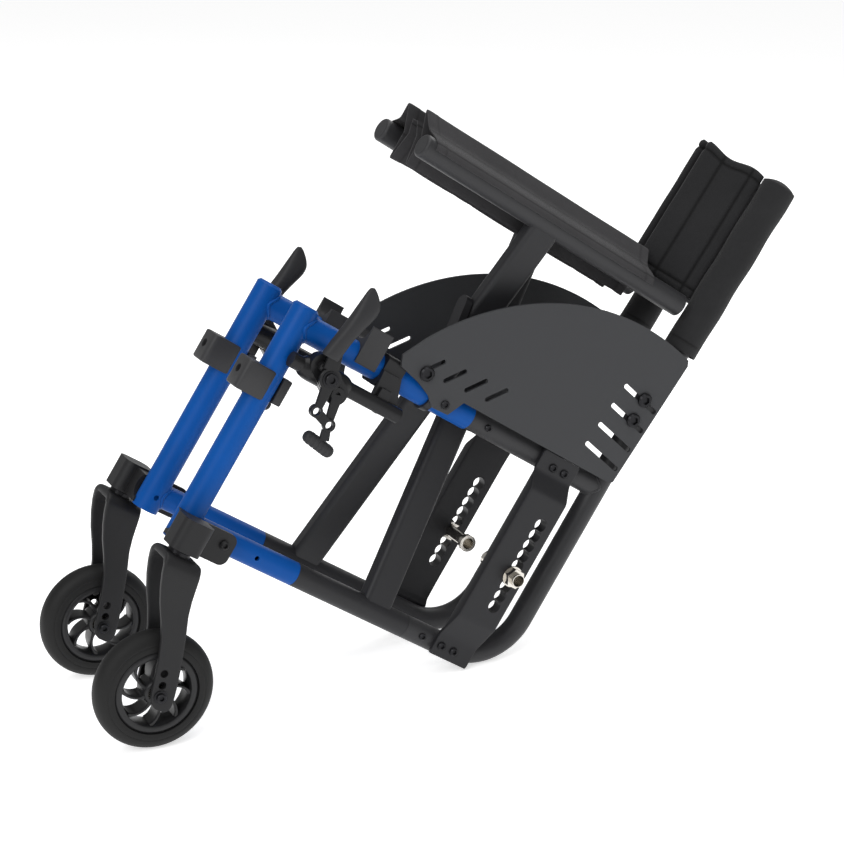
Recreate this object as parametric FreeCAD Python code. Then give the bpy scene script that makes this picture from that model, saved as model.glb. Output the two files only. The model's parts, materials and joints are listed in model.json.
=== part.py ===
import FreeCAD, Part
import math
import os

# Folding manual wheelchair, folded flat, rear wheels taken off, tipped back on its
# front casters and on the rear bends of its frame.  All lengths are in millimetres.
#
# The chair is modelled upright, in a level "chair" frame: +X forward, +Y to the user's
# left, +Z up, Z = 0 at the underside of the lower frame tubes, Y = 0 midway between the
# two side frames.  At the end every piece is turned nose-up by TILT and moved, so that
# casters and rear bends stand on Z = 0.
V = FreeCAD.Vector
X = V(1, 0, 0)
Y = V(0, 1, 0)
Z = V(0, 0, 1)

# ---- driving dimensions ---------------------------------------------------------
HALF = 50.0              # half the spacing of the two side frames when folded
R_FRONT = 14.3           # front, blue tubes (28.6 mm tube)
R_REAR = 12.7            # rear, black tubes (25.4 mm tube)
WALL = 2.0               # tube wall
GAP = 0.05               # radial running clearance of pivots
Z_LOW = 12.7             # axis height of the lower tube
Z_TOP = 242.0            # axis height of the top tube
Z_RAIL = 458.0           # axis height of the folded seat rail
X_FRONT = 332.0          # axis of the upright front tube
X_UPRIGHT = -82.0        # axis of the rear upright
BEND = 62.3              # centre-line radius of the rear bend
X_BLUE_TOP = 106.0       # where the blue top tube ends
X_BLUE_LOW = 195.0       # where the blue lower tube ends
X_PIVOT_REAR = 47.5      # rear end of the brace pivot tube
R_SHAFT = 9.5            # shaft inside the brace pivot tube
X_ARM_FRONT = 138.0      # fore-aft place of the two brace arms
X_ARM_REAR = 90.0
ARM_WIDE = 36.0          # brace arm, fore-aft
ARM_THICK = 20.0
R_RAIL = 12.7
RAIL_FRONT = 306.0
RAIL_REAR = -57.0
Z_SEATED = 272.8         # axis height of the rail when the chair is open
LINK_DOWN = 118.0        # fold-link pin, measured down the arm from the rail
POST_BASE = 258.0        # height where the reclined back post starts
POST_TOP = 628.0
POST_LEAN = 14.0         # how far the post leans back over its height
R_WHEEL = 62.5           # caster wheel, 125 mm
CASTER = (294.8, -144.4)     # caster wheel centre, X and Z
X_STEM = 344.0           # caster stem axis
OUT_STEM = 45.0          # caster stem, outboard of the side frame
AXLE = (-23.0, 115.5)    # rear axle receiver, X and Z
R_AXLE = 6.35            # quick-release axle bore, 12.7 mm
PLATE_OUT = HALF + 26.0  # inner face of the axle plate where it stands off the frame
PLATE_THICK = 5.0
PLATE_HOLES = 9          # axle positions, their pitch and the lowest one
PLATE_PITCH = 12.5
PLATE_HOLE_Z = 78.0
R_CASTER_BOLT = 4.0
R_STEM = 6.0
FORK_IN = 18.0           # inner face of each fork leg from the wheel's middle
FORK_OUT = 24.0
HUB_RIM = 44.0           # tyre seat on the hub
CLAMP_Z = 173.5          # accessory clamp on the front tube

# ---- values that follow -----------------------------------------------------------
ARM = math.hypot(2 * HALF, Z_RAIL - Z_LOW)
ANGLE_SHUT = math.degrees(math.asin((Z_RAIL - Z_LOW) / ARM))
ANGLE_OPEN = math.degrees(math.asin((Z_SEATED - Z_LOW) / ARM))
FOLD = ANGLE_SHUT - ANGLE_OPEN
Z_CROSS = (Z_LOW + Z_RAIL) / 2
POST_ANGLE = math.degrees(math.atan2(POST_LEAN, POST_TOP - POST_BASE))
BEND_OUT = BEND + R_REAR
BEND_X = X_UPRIGHT + BEND
BEND_Z = Z_LOW + BEND
REACH = math.hypot(CASTER[0] - BEND_X, CASTER[1] - BEND_Z)
SLOPE = math.atan2(BEND_Z - CASTER[1], CASTER[0] - BEND_X)
TILT = math.degrees(SLOPE - math.asin((BEND_OUT - R_WHEEL) / REACH))

# side guard, outboard of the frame
GUARD_Y = HALF + 18.0    # its inner face
GUARD_THICK = 3.0
GUARD_BOLTS = [(186, 261), (-66, 350), (-66, 325)]

# slings: three strips a side in the seat, two in the back, angles from straight inward
SEAT_OUT = 47.9
SEAT_MID = 79.1
SEAT_IN = 67.0
SEAT_UP = math.degrees(math.acos((HALF - 20.9) / SEAT_OUT))
SEAT_MID_TURN = 90.7
SEAT_IN_TURN = -75.4
SEAT_REAR = -4.0         # rear edge of the seat sling
BACK_OUT = 92.4
BACK_IN = 115.0
BACK_FWD = math.degrees(math.acos((HALF - 6.1) / BACK_OUT))
BACK_IN_TURN = -92.1
CLOTH = 1.2              # thickness of the sling cloth
R_SLEEVE = 20.5          # fabric sleeve on the back post
SLEEVE_Z0 = 157.0        # sleeve's lower hem, up the post from POST_BASE
BACK_Z0 = 214.0          # lower and upper edge of the back sling, up the post
BACK_Z1 = 367.0

# wheel lock: its body, pad arm, link and lever lie in layers outboard of its bar
OUT_LOCK = 26.0          # wheel-lock bar, outboard of the side frame
LEVER_PIVOT = (304.0, 218.0)
GRIP_ROOT = (305.0, 250.0)   # where the lever plate ends inside the grip
LEVER_PIN = (289.0, 176.0)
PAD_PIN = (267.0, 169.0)
PAD_PIVOT = (274.0, 200.0)
SHOE = (262.0, 149.0)
LOCK_BAR_Z = 209.0
LAYER_BODY = OUT_LOCK + 12.0
LAYER_PAD = LAYER_BODY + 0.3
LAYER_LINK = LAYER_PAD + 3.3
LAYER_LEVER = LAYER_LINK + 3.3


# ---- small makers -------------------------------------------------------------------
def rod(a, b, r):
    """A round bar from a to b."""
    d = V(*b) - V(*a)
    return Part.makeCylinder(r, d.Length, V(*a), d)


def tube(a, b, r, inner):
    """A round tube from a to b, with its bore."""
    return rod(a, b, r).cut(rod(a, b, inner))


def block(x0, x1, y0, y1, z0, z1):
    """A box between two corners."""
    return Part.makeBox(x1 - x0, y1 - y0, z1 - z0, V(x0, y0, z0))


def soften(shape, r, axis):
    """Round the straight edges of shape that run along an axis."""
    picked = []
    for edge in shape.Edges:
        if edge.Curve.TypeId != "Part::GeomLine":
            continue
        a = edge.Vertexes[0].Point
        b = edge.Vertexes[-1].Point
        if (b - a).normalize().cross(axis).Length < 1e-6:
            picked.append(edge)
    return shape.makeFillet(r, picked)


def side_plate(points, y0, y1):
    """A flat plate of an X-Z outline, from y0 to y1."""
    ring = [V(x, y0, z) for x, z in points]
    face = Part.Face(Part.makePolygon(ring + ring[:1]))
    return face.extrude(V(0, y1 - y0, 0))


def strap(a, b, r, y0, y1):
    """A round-ended bar between two X-Z points, flat in the X-Z plane."""
    dx = b[0] - a[0]
    dz = b[1] - a[1]
    n = math.hypot(dx, dz)
    sx = -dz / n * r
    sz = dx / n * r
    ring = [(a[0] + sx, a[1] + sz), (b[0] + sx, b[1] + sz),
            (b[0] - sx, b[1] - sz), (a[0] - sx, a[1] - sz)]
    body = side_plate(ring, y0, y1)
    for x, z in (a, b):
        body = body.fuse(rod((x, y0, z), (x, y1, z), r))
    return body.removeSplitter()


def joined(*shapes):
    """Shapes welded into one solid."""
    body = shapes[0]
    for other in shapes[1:]:
        body = body.fuse(other)
    return body.removeSplitter()


def group(*shapes):
    """Separate solids kept in one node."""
    return Part.makeCompound(list(shapes))


def mirrored(shape):
    """The same piece on the other side of the chair."""
    return shape.mirror(V(0, 0, 0), Y)


def screw(x, z, y, r, head):
    """A button-head screw with a hexagon socket, its head outboard of the face at y."""
    dome = rod((x, y, z), (x, y + head, z), r)
    rim = [e for e in dome.Edges if e.BoundBox.YMin > y + head - 0.01]
    dome = dome.makeChamfer(head * 0.4, rim)
    return dome.cut(hexagon(x, z, y + head * 0.4, r, head, 0))


# ---- side frame, modelled for the left side -----------------------------------------
def front_frame():
    """Blue front frame: upright tube, open below for the footrest, and welded lower tube."""
    upright = rod((X_FRONT, HALF, -7), (X_FRONT, HALF, 262), R_FRONT)
    upright = upright.makeChamfer(2.5, [e for e in upright.Edges if e.BoundBox.ZMin > 261.9])
    lower = rod((X_BLUE_LOW, HALF, Z_LOW), (X_FRONT, HALF, Z_LOW), R_REAR)
    body = joined(upright, lower)
    body = body.cut(rod((X_BLUE_LOW - 1, HALF, Z_LOW), (X_FRONT - R_FRONT - 8, HALF, Z_LOW), R_SHAFT))
    body = body.cut(rod((X_FRONT, HALF, -8), (X_FRONT, HALF, 256), R_FRONT - WALL))
    body = body.cut(rod((247, HALF, Z_LOW), (247, HALF + 30, Z_LOW), 2.6))
    return body.cut(rod((X_FRONT, HALF - 30, 10), (X_FRONT, HALF, 10), 3.0))


def top_tube():
    """Blue top tube, coped to the front tube."""
    pipe = tube((X_BLUE_TOP, HALF, Z_TOP), (X_FRONT, HALF, Z_TOP), R_FRONT, R_FRONT - WALL)
    return pipe.cut(rod((X_FRONT, HALF, -20), (X_FRONT, HALF, 280), R_FRONT))


def rear_top_tube():
    """Black top tube: its neck sits inside the blue one, its end on the upright."""
    pipe = tube((X_UPRIGHT, HALF, Z_TOP), (X_BLUE_TOP, HALF, Z_TOP), R_REAR, R_REAR - WALL)
    neck = tube((X_BLUE_TOP - 5, HALF, Z_TOP), (X_BLUE_TOP + 30, HALF, Z_TOP),
                R_FRONT - WALL - 0.1, R_REAR - WALL)
    upright = rod((X_UPRIGHT, HALF, 200), (X_UPRIGHT, HALF, 280), R_REAR)
    return joined(pipe, neck).cut(upright)


def rear_frame_tube():
    """Lower rear tube, bend and upright in one piece, with the brace pivot shaft."""
    path = Part.Wire([
        Part.makeLine(V(X_PIVOT_REAR, HALF, Z_LOW), V(BEND_X, HALF, Z_LOW)),
        Part.Arc(V(BEND_X, HALF, Z_LOW),
                 V(BEND_X - BEND * math.sin(math.pi / 4), HALF, BEND_Z - BEND * math.cos(math.pi / 4)),
                 V(X_UPRIGHT, HALF, BEND_Z)).toShape(),
        Part.makeLine(V(X_UPRIGHT, HALF, BEND_Z), V(X_UPRIGHT, HALF, POST_BASE))])
    start = V(X_PIVOT_REAR, HALF, Z_LOW)
    skin = Part.Wire(Part.makeCircle(R_REAR, start, X))
    bore = Part.Wire(Part.makeCircle(R_REAR - WALL, start, X))
    pipe = path.makePipe(skin_face(skin)).cut(path.makePipe(skin_face(bore)))
    shaft = tube((X_PIVOT_REAR - 12, HALF, Z_LOW), (X_BLUE_LOW + 25, HALF, Z_LOW),
                 R_SHAFT, R_SHAFT - WALL)
    plug = tube((X_PIVOT_REAR - 12, HALF, Z_LOW), (X_PIVOT_REAR, HALF, Z_LOW),
                R_REAR - WALL + 0.5, R_SHAFT - WALL)
    return joined(pipe, plug, shaft)


def skin_face(wire):
    """The flat face inside a closed wire."""
    return Part.Face(wire)


def in_post(shape):
    """Put a piece made about the Z axis onto the reclined back post."""
    shape.rotate(V(0, 0, 0), Y, -POST_ANGLE)
    shape.translate(V(X_UPRIGHT, HALF, POST_BASE))
    return shape


def back_post():
    """Back post above the frame, its closed top and the bracket for the guard bolts."""
    length = (POST_TOP - POST_BASE) / math.cos(math.radians(POST_ANGLE))
    pipe = tube((0, 0, -5), (0, 0, length), R_REAR, R_REAR - WALL)
    lid = rod((0, 0, length - 3), (0, 0, length), R_REAR)
    post = in_post(joined(pipe, lid))
    post = post.cut(block(-200, 200, 0, 100, 200, POST_BASE))
    lug = soften(block(-90, -58, HALF + 13.5, GUARD_Y, 312, 363), 4, Y)
    root = block(-90, -78, HALF + 11, HALF + 15, 318, 357)
    return joined(post, lug, root)


def post_sleeve():
    """Fabric sleeve of the back sling, closed over the top of the post."""
    length = (POST_TOP - POST_BASE) / math.cos(math.radians(POST_ANGLE))
    ring = tube((0, 0, SLEEVE_Z0), (0, 0, length), R_SLEEVE, R_REAR + 0.3)
    lid = rod((0, 0, length + 0.3), (0, 0, length + 3), R_SLEEVE)
    side = tube((0, 0, length), (0, 0, length + 0.4), R_SLEEVE, R_REAR + 0.3)
    return in_post(joined(ring, side, lid))


def axle_plate():
    """Bent axle plate with its row of axle positions and tab screws."""
    tab = HALF + R_REAR
    out = PLATE_OUT
    t = PLATE_THICK
    profile = [(tab, 252), (tab, 226), (out, 208), (out, 56), (tab, 27), (tab, 1),
               (tab + t, 1), (tab + t, 25), (out + t, 54), (out + t, 210), (tab + t, 228), (tab + t, 252)]
    ring = [V(-40, y, z) for y, z in profile]
    plate = Part.Face(Part.makePolygon(ring + ring[:1])).extrude(V(51, 0, 0))
    for k in range(PLATE_HOLES):
        z = PLATE_HOLE_Z + PLATE_PITCH * k
        plate = plate.cut(rod((AXLE[0], out - 1, z), (AXLE[0], out + t + 1, z), 7.2))
    return plate


def axle_receiver():
    """Axle sleeve with its hex nut and washer outboard and its nut inboard."""
    x, z = AXLE
    out = PLATE_OUT
    sleeve = tube((x, HALF - 25, z), (x, HALF + 47, z), 7.1, R_AXLE)
    washer = tube((x, out + 5.1, z), (x, out + 7.1, z), 11.5, 7.1)
    nuts = []
    for y in (out + 7.1, out - 8.1):
        nuts.append(hexagon(x, z, y, 19.0, 8.0, 7.1))
    body = joined(sleeve, washer, nuts[0], nuts[1])
    flange = tube((x, HALF - 25, z), (x, HALF - 19, z), 9.5, R_AXLE)
    return joined(body, flange)


def hexagon(x, z, y, across, thick, bore):
    """A hexagon prism about an axis along Y, with a bore if it is a nut."""
    r = across / math.sqrt(3)
    ring = []
    for k in range(6):
        a = math.radians(60 * k)
        ring.append((x + r * math.cos(a), z + r * math.sin(a)))
    nut = side_plate(ring, y, y + thick)
    if bore:
        nut = nut.cut(rod((x, y - 1, z), (x, y + thick + 1, z), bore))
    return nut


def side_guard():
    """Flat side guard: round upper edge about the axle, adjusting slots, front tab."""
    y = GUARD_Y
    tip = V(206, y, 292)
    back = V(-91, y, 411)
    edges = [Part.Arc(tip, V(70, y, 400), back).toShape()]
    ring = [back, V(-94, y, 405), V(-84, y, 256), V(-80, y, 253), V(130, y, 253), V(140, y, 234),
            V(160, y, 233), V(171, y, 242), V(189, y, 249), V(216, y, 255), V(221, y, 266), tip]
    for a, b in zip(ring, ring[1:]):
        edges.append(Part.makeLine(a, b))
    plate = Part.Face(Part.Wire(edges)).extrude(V(0, GUARD_THICK, 0))
    for k in range(4):
        x = 190 - 27.5 * k
        z = 262 + 2 * k
        plate = plate.cut(strap((x, z), (x - 15, z + 18), 2.6, y - 1, y + 5))
        x = -30 - 2.3 * k
        z = 279 + 24.7 * k
        plate = plate.cut(strap((x, z), (x - 48, z - 9), 2.8, y - 1, y + 5))
    return plate


def fasteners():
    """Screws and bolts of one side frame, kept as one group."""
    out = []
    for x, z in GUARD_BOLTS:
        out.append(screw(x, z, GUARD_Y + GUARD_THICK, 8.0, 4.0))
    out.append(screw(149, 242, GUARD_Y + GUARD_THICK, 4.6, 2.5))
    for x, z in ((-9, 238), (-25, 238), (2, 13), (-15, 13)):
        out.append(screw(x, z, HALF + R_REAR + 5, 4.6, 3.0))
    for x, z in ((84, Z_TOP), (26, Z_LOW)):
        out.append(screw(x, z, HALF + R_REAR, 4.0, 2.5))
    return group(*out)


def tube_clamps():
    """Clamped-on pieces of one side frame: two rail cradles and the accessory clamp."""
    out = [accessory_clamp()]
    for x0, x1, r, z0 in ((237, 263, R_FRONT, Z_TOP - 6), (-17, 7, R_REAR, Z_TOP + 11)):
        body = block(x0, x1, HALF - 16, HALF + 16, z0, Z_SEATED + 4)
        body = soften(body, 3, X)
        body = body.cut(rod((x0 - 1, HALF, Z_TOP), (x1 + 1, HALF, Z_TOP), r))
        body = body.cut(rod((x0 - 1, HALF, Z_SEATED), (x1 + 1, HALF, Z_SEATED), R_RAIL + 0.4))
        body = body.cut(block(x0 - 1, x1 + 1, HALF - R_RAIL - 0.4, HALF + R_RAIL + 0.4,
                              Z_SEATED, Z_SEATED + 20))
        out.append(body.cut(block(x0 - 1, x1 + 1, HALF - 20, HALF - 5, Z_SEATED - 3, Z_SEATED + 20)))
    return group(*out)


def lock_mount():
    """Clamp on the top tube that carries the wheel-lock bar and its body."""
    y = HALF + OUT_LOCK
    clamp = soften(block(206, 230, HALF - 17, HALF + 17, Z_TOP - 18, Z_TOP + 17), 4, X)
    clamp = clamp.cut(rod((199, HALF, Z_TOP), (235, HALF, Z_TOP), R_FRONT))
    foot = side_plate([(208, 243), (231, 243), (227, 206), (216, 200), (194, 206)], HALF + 15, HALF + 21)
    bar = rod((194, y, LOCK_BAR_Z), (332, y, LOCK_BAR_Z), 8)
    web = block(211, 225, HALF + 15, y - 1, LOCK_BAR_Z - 5, LOCK_BAR_Z + 17.5)
    body = strap(LEVER_PIVOT, PAD_PIVOT, 12, y, HALF + LAYER_BODY)
    return joined(clamp, foot, bar, web, body)


def accessory_clamp():
    """Clamp on the front tube: ring, ears with a screw hole, hook behind."""
    z = CLAMP_Z
    ring = rod((X_FRONT, HALF, z - 16), (X_FRONT, HALF, z + 16), R_FRONT + 3.5)
    ears = soften(block(X_FRONT, X_FRONT + 33, HALF - 11, HALF + 11, z - 16, z + 16), 5, Z)
    hook = block(X_FRONT - 25, X_FRONT, HALF - 8, HALF + 8, z - 16, z + 16)
    body = joined(ring, ears, hook)
    body = body.cut(rod((X_FRONT, HALF, z - 40), (X_FRONT, HALF, z + 40), R_FRONT))
    body = body.cut(block(X_FRONT + 8, X_FRONT + 60, HALF - 1, HALF + 1, z - 40, z + 40))
    return body.cut(rod((X_FRONT + 25, HALF - 20, z), (X_FRONT + 25, HALF + 20, z), 4))


def caster_housing():
    """Caster stem housing, its web to the front tube and its bolted plate."""
    y = HALF + OUT_STEM
    barrel = soften(block(X_STEM - 17, X_STEM + 17, y - 17, y + 17, -6, 27), 9, Z)
    web = block(X_FRONT - 8, X_FRONT + 16, HALF, y, -5, 25)
    plate = soften(block(283, X_FRONT, HALF + 22, HALF + 27, -8, 26), 9, Y)
    lug = rod((295, HALF + R_REAR - 2, 11), (295, HALF + 23, 11), 7)
    bolt = screw(295, 13, HALF + 27, 5.0, 4.0)
    body = joined(barrel, web, plate, lug, bolt)
    body = body.cut(rod((X_FRONT, HALF, -40), (X_FRONT, HALF, 80), R_FRONT))
    body = body.cut(rod((200, HALF, Z_LOW), (400, HALF, Z_LOW), R_REAR))
    return body.cut(rod((X_STEM, y, -9), (X_STEM, y, 22), R_STEM + GAP))


# ---- caster -----------------------------------------------------------------------------
def caster_fork():
    """Cast fork: stem, flat crown and two legs swept back to the axle."""
    y = HALF + OUT_STEM
    stem = rod((X_STEM, y, -14), (X_STEM, y, 21.5), R_STEM)
    ring = rod((X_STEM, y, -14), (X_STEM, y, -6.5), 12)
    crown = side_plate([(324, -14), (370, -10), (370, -20), (356, -36), (322, -36)],
                       y - FORK_OUT, y + FORK_OUT)
    body = joined(stem, ring, crown)
    cx, cz = CASTER
    wide = FORK_OUT - FORK_IN
    for y0 in (y - FORK_OUT, y + FORK_IN):
        leg = [(326, -14), (362, -14), (358, -34), (334, -92), (cx + 13, cz), (cx - 13, cz),
               (305, -90), (322, -36)]
        body = joined(body, side_plate(leg, y0, y0 + wide), rod((cx, y0, cz), (cx, y0 + wide, cz), 13))
    for dx, dz in ((0, 0), (4.5, 11.5), (9, 23)):
        body = body.cut(rod((cx + dx, y - 30, cz + dz), (cx + dx, y + 30, cz + dz), R_CASTER_BOLT))
    return body


def caster_axle():
    """Axle bolt with its head and nut."""
    y = HALF + OUT_STEM
    cx, cz = CASTER
    shaft = rod((cx, y - 28, cz), (cx, y + 28, cz), R_CASTER_BOLT)
    head = rod((cx, y + 24, cz), (cx, y + 29, cz), 7.5)
    nut = rod((cx, y - 29, cz), (cx, y - 24, cz), 7.5)
    return joined(shaft, head, nut)


def turned(profile, centre):
    """A ring turned about the caster axle from (y, radius) points."""
    y, x, z = centre
    ring = [V(x, y + w, z + r) for w, r in profile]
    face = Part.Face(Part.makePolygon(ring + ring[:1]))
    return face.revolve(V(x, y, z), Y, 360)


def caster_tyre():
    """Solid tyre with a round tread."""
    y = HALF + OUT_STEM
    cx, cz = CASTER
    a = Part.Arc(V(cx, y - 15, cz + 55), V(cx, y, cz + R_WHEEL), V(cx, y + 15, cz + 55)).toShape()
    b = Part.makePolygon([V(cx, y + 15, cz + 55), V(cx, y + 13, cz + HUB_RIM), V(cx, y - 13, cz + HUB_RIM),
                          V(cx, y - 15, cz + 55)])
    face = Part.Face(Part.Wire([a] + b.Edges))
    return face.revolve(V(cx, y, cz), Y, 360)


def caster_hub():
    """Spoked plastic hub with its bearing bore."""
    y = HALF + OUT_STEM
    cx, cz = CASTER
    centre = (y, cx, cz)
    rim = turned([(-12, 38), (12, 38), (12, HUB_RIM), (-12, HUB_RIM)], centre)
    boss = turned([(-14, R_CASTER_BOLT + GAP), (14, R_CASTER_BOLT + GAP), (14, 14), (-14, 14)], centre)
    spokes = []
    for k in range(6):
        arm = block(cx + 12, cx + 40, y - 5, y + 5, cz - 4, cz + 4)
        arm.rotate(V(cx, y, cz), Y, 60 * k)
        spokes.append(arm)
    return joined(rim, boss, *spokes)


# ---- wheel lock ------------------------------------------------------------------------
def lock_lever():
    """Lever plate from its pivot down to the link pin, and up into the grip."""
    y = HALF + LAYER_LEVER
    down = strap(LEVER_PIVOT, LEVER_PIN, 6, y, y + 3.5)
    up = strap(LEVER_PIVOT, GRIP_ROOT, 6, y, y + 3.5)
    x, z = LEVER_PIVOT
    boss = rod((x, HALF + LAYER_BODY + 0.3, z), (x, y, z), 5)
    x, z = LEVER_PIN
    pin = rod((x, HALF + LAYER_LINK, z), (x, y, z), 3.0)
    return joined(down, up, boss, pin)


def lock_grip():
    """Moulded paddle grip."""
    y = HALF + LAYER_LEVER + 1.75
    ring = [(314, 232), (309, 258), (305, 284), (302, 304), (296, 311), (286, 304), (277, 292),
            (284, 278), (291, 258), (295, 232)]
    grip = side_plate(ring, y - 9, y + 9)
    return grip.cut(strap(LEVER_PIVOT, GRIP_ROOT, 6, y - 1.75, y + 1.75))


def lock_link():
    """Short link between the lever pin and the pad-arm pin."""
    y = HALF + LAYER_LINK
    bar = strap(LEVER_PIN, PAD_PIN, 6.5, y, y + 3)
    bar = bar.cut(rod((LEVER_PIN[0], y - 1, LEVER_PIN[1]), (LEVER_PIN[0], y + 4, LEVER_PIN[1]), 3 + GAP))
    return bar.cut(rod((PAD_PIN[0], y - 1, PAD_PIN[1]), (PAD_PIN[0], y + 4, PAD_PIN[1]), 4.6))


def pad_arm():
    """Arm with the shoe that presses on the tyre."""
    y = HALF + LAYER_PAD
    arm = strap(PAD_PIVOT, SHOE, 6, y, y + 3)
    pin = rod((PAD_PIN[0], y, PAD_PIN[1]), (PAD_PIN[0], y + 6.3, PAD_PIN[1]), 2.5)
    shoe = rod((SHOE[0] - 17, y - 2, SHOE[1] - 5), (SHOE[0] + 21, y - 2, SHOE[1] + 1), 6.5)
    return joined(arm, pin, shoe)


# ---- cross-brace -----------------------------------------------------------------------
def arm_body(x, foot_side):
    """One brace arm: pivot tube, rectangular arm and saddle for its rail."""
    foot = V(x, foot_side * HALF, Z_LOW)
    head = V(x, -foot_side * HALF, Z_RAIL)
    bar = soften(block(-ARM_WIDE / 2, ARM_WIDE / 2, -ARM_THICK / 2, ARM_THICK / 2, 0, ARM), 6, Z)
    core = soften(block(-ARM_WIDE / 2 + WALL, ARM_WIDE / 2 - WALL, -ARM_THICK / 2 + WALL,
                        ARM_THICK / 2 - WALL, R_REAR, ARM - R_RAIL), 4, Z)
    bar = bar.cut(core)
    bar.rotate(V(0, 0, 0), X, foot_side * (90 - ANGLE_SHUT))
    bar.translate(foot)
    pivot = tube((X_PIVOT_REAR + 0.3, foot.y, Z_LOW), (X_BLUE_LOW - 0.3, foot.y, Z_LOW),
                 R_REAR, R_SHAFT + GAP)
    bar = bar.cut(rod((X_PIVOT_REAR, foot.y, Z_LOW), (X_BLUE_LOW, foot.y, Z_LOW), R_REAR))
    bar = bar.cut(rod((RAIL_REAR, head.y, Z_RAIL), (RAIL_FRONT, head.y, Z_RAIL), R_RAIL))
    bar = bar.cut(rod((x - 30, 0, Z_CROSS), (x + 30, 0, Z_CROSS), 5 + GAP))
    return joined(bar, pivot)


def seat_rail(side):
    """Seat rail with its domed front plug and rear plug."""
    y = side * HALF
    rail = tube((RAIL_REAR, y, Z_RAIL), (RAIL_FRONT, y, Z_RAIL), R_RAIL, R_RAIL - WALL)
    plugs = []
    for x0, x1 in ((RAIL_REAR, RAIL_REAR + 12), (RAIL_FRONT - 12, RAIL_FRONT)):
        plugs.append(rod((x0, y, Z_RAIL), (x1, y, Z_RAIL), R_RAIL - WALL))
    dome = rod((RAIL_FRONT, y, Z_RAIL), (RAIL_FRONT + 4, y, Z_RAIL), R_RAIL)
    dome = dome.makeFillet(3.4, [e for e in dome.Edges if e.BoundBox.XMin > RAIL_FRONT + 3.9])
    return joined(rail, dome, *plugs)


def cross_bolt():
    """Bolt and spacer where the two arms cross."""
    front = X_ARM_FRONT + ARM_WIDE / 2
    rear = X_ARM_REAR - ARM_WIDE / 2
    shank = rod((rear - 6, 0, Z_CROSS), (front + 1, 0, Z_CROSS), 5)
    head = rod((front + 0.1, 0, Z_CROSS), (front + 6, 0, Z_CROSS), 9)
    nut = rod((rear - 7, 0, Z_CROSS), (rear - 0.3, 0, Z_CROSS), 8.5)
    spacer = rod((X_ARM_REAR + ARM_WIDE / 2 + 0.3, 0, Z_CROSS),
                 (X_ARM_FRONT - ARM_WIDE / 2 - 0.1, 0, Z_CROSS), 10)
    return joined(shank, head, nut, spacer)


LINK_Y = HALF - LINK_DOWN * math.cos(math.radians(ANGLE_SHUT))
LINK_Z = Z_RAIL - LINK_DOWN * math.sin(math.radians(ANGLE_SHUT))


def fold_link(x0, x1, r_tube):
    """Fold link: a ring on the top tube, a flat bar and an eye at the arm."""
    ring = rod((x0, HALF, Z_TOP), (x1, HALF, Z_TOP), 17.4)
    eye = rod((x0, LINK_Y, LINK_Z), (x1, LINK_Y, LINK_Z), 9)
    dy = LINK_Y - HALF
    dz = LINK_Z - Z_TOP
    n = math.hypot(dy, dz)
    w = 9.0
    sy = -dz / n * w
    sz = dy / n * w
    pts = [V(x0, HALF + sy, Z_TOP + sz), V(x0, LINK_Y + sy, LINK_Z + sz),
           V(x0, LINK_Y - sy, LINK_Z - sz), V(x0, HALF - sy, Z_TOP - sz)]
    bar = Part.Face(Part.makePolygon(pts + pts[:1])).extrude(V(x1 - x0, 0, 0))
    body = joined(ring, bar, eye)
    return body.cut(rod((x0 - 1, HALF, Z_TOP), (x1 + 1, HALF, Z_TOP), r_tube + GAP))


# ---- slings ------------------------------------------------------------------------------
def strip(length, start, end, z0, z1):
    """A thin upright panel from start to end of a leaf that lies along -Y."""
    return block(-CLOTH / 2, CLOTH / 2, -(length - end), -start, z0, z1)


def seat_strips():
    """Outer, middle and inner seat strips of the left side, folded in a zigzag."""
    x0 = SEAT_REAR
    x1 = RAIL_FRONT - 6
    outer = block(x0, x1, -(SEAT_OUT - 3), -22, -CLOTH / 2, CLOTH / 2)
    outer.rotate(V(0, 0, 0), X, -SEAT_UP)
    outer.translate(V(0, HALF, Z_RAIL))
    y, z = seat_ridge()
    middle = turned_down(block(x0, x1, -(SEAT_MID - 5.5), -3, -CLOTH / 2, CLOTH / 2), SEAT_MID_TURN)
    middle.translate(V(0, y, z))
    y, z = seat_hem()
    inner = turned_down(block(x0, x1, -SEAT_IN, -5.5, -CLOTH / 2, CLOTH / 2), SEAT_IN_TURN)
    inner.translate(V(0, y, z))
    return outer, middle, inner


def turned_down(strip_shape, turn):
    """A strip that lies along -Y, turned about X to hang or stand at an angle."""
    strip_shape.rotate(V(0, 0, 0), X, turn)
    return strip_shape


def seat_ridge():
    """Y and Z of the left ridge of the folded seat sling."""
    a = math.radians(SEAT_UP)
    return HALF - SEAT_OUT * math.cos(a), Z_RAIL + SEAT_OUT * math.sin(a)


def seat_hem():
    """Y and Z of the left lower fold of the seat sling."""
    y, z = seat_ridge()
    a = math.radians(SEAT_MID_TURN)
    return y - SEAT_MID * math.cos(a), z - SEAT_MID * math.sin(a)


def back_strips():
    """Outer and inner back strips of the left side, folded."""
    outer = strip(BACK_OUT, R_SLEEVE + 1.5, 3.5, BACK_Z0, BACK_Z1)
    outer.rotate(V(0, 0, 0), Z, BACK_FWD)
    inner = strip(BACK_IN, 3.5, 0.5, BACK_Z0, BACK_Z1)
    inner.rotate(V(0, 0, 0), Z, BACK_IN_TURN)
    a = math.radians(BACK_FWD)
    inner.translate(V(BACK_OUT * math.sin(a), -BACK_OUT * math.cos(a), 0))
    return in_post(outer), in_post(inner)


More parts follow.
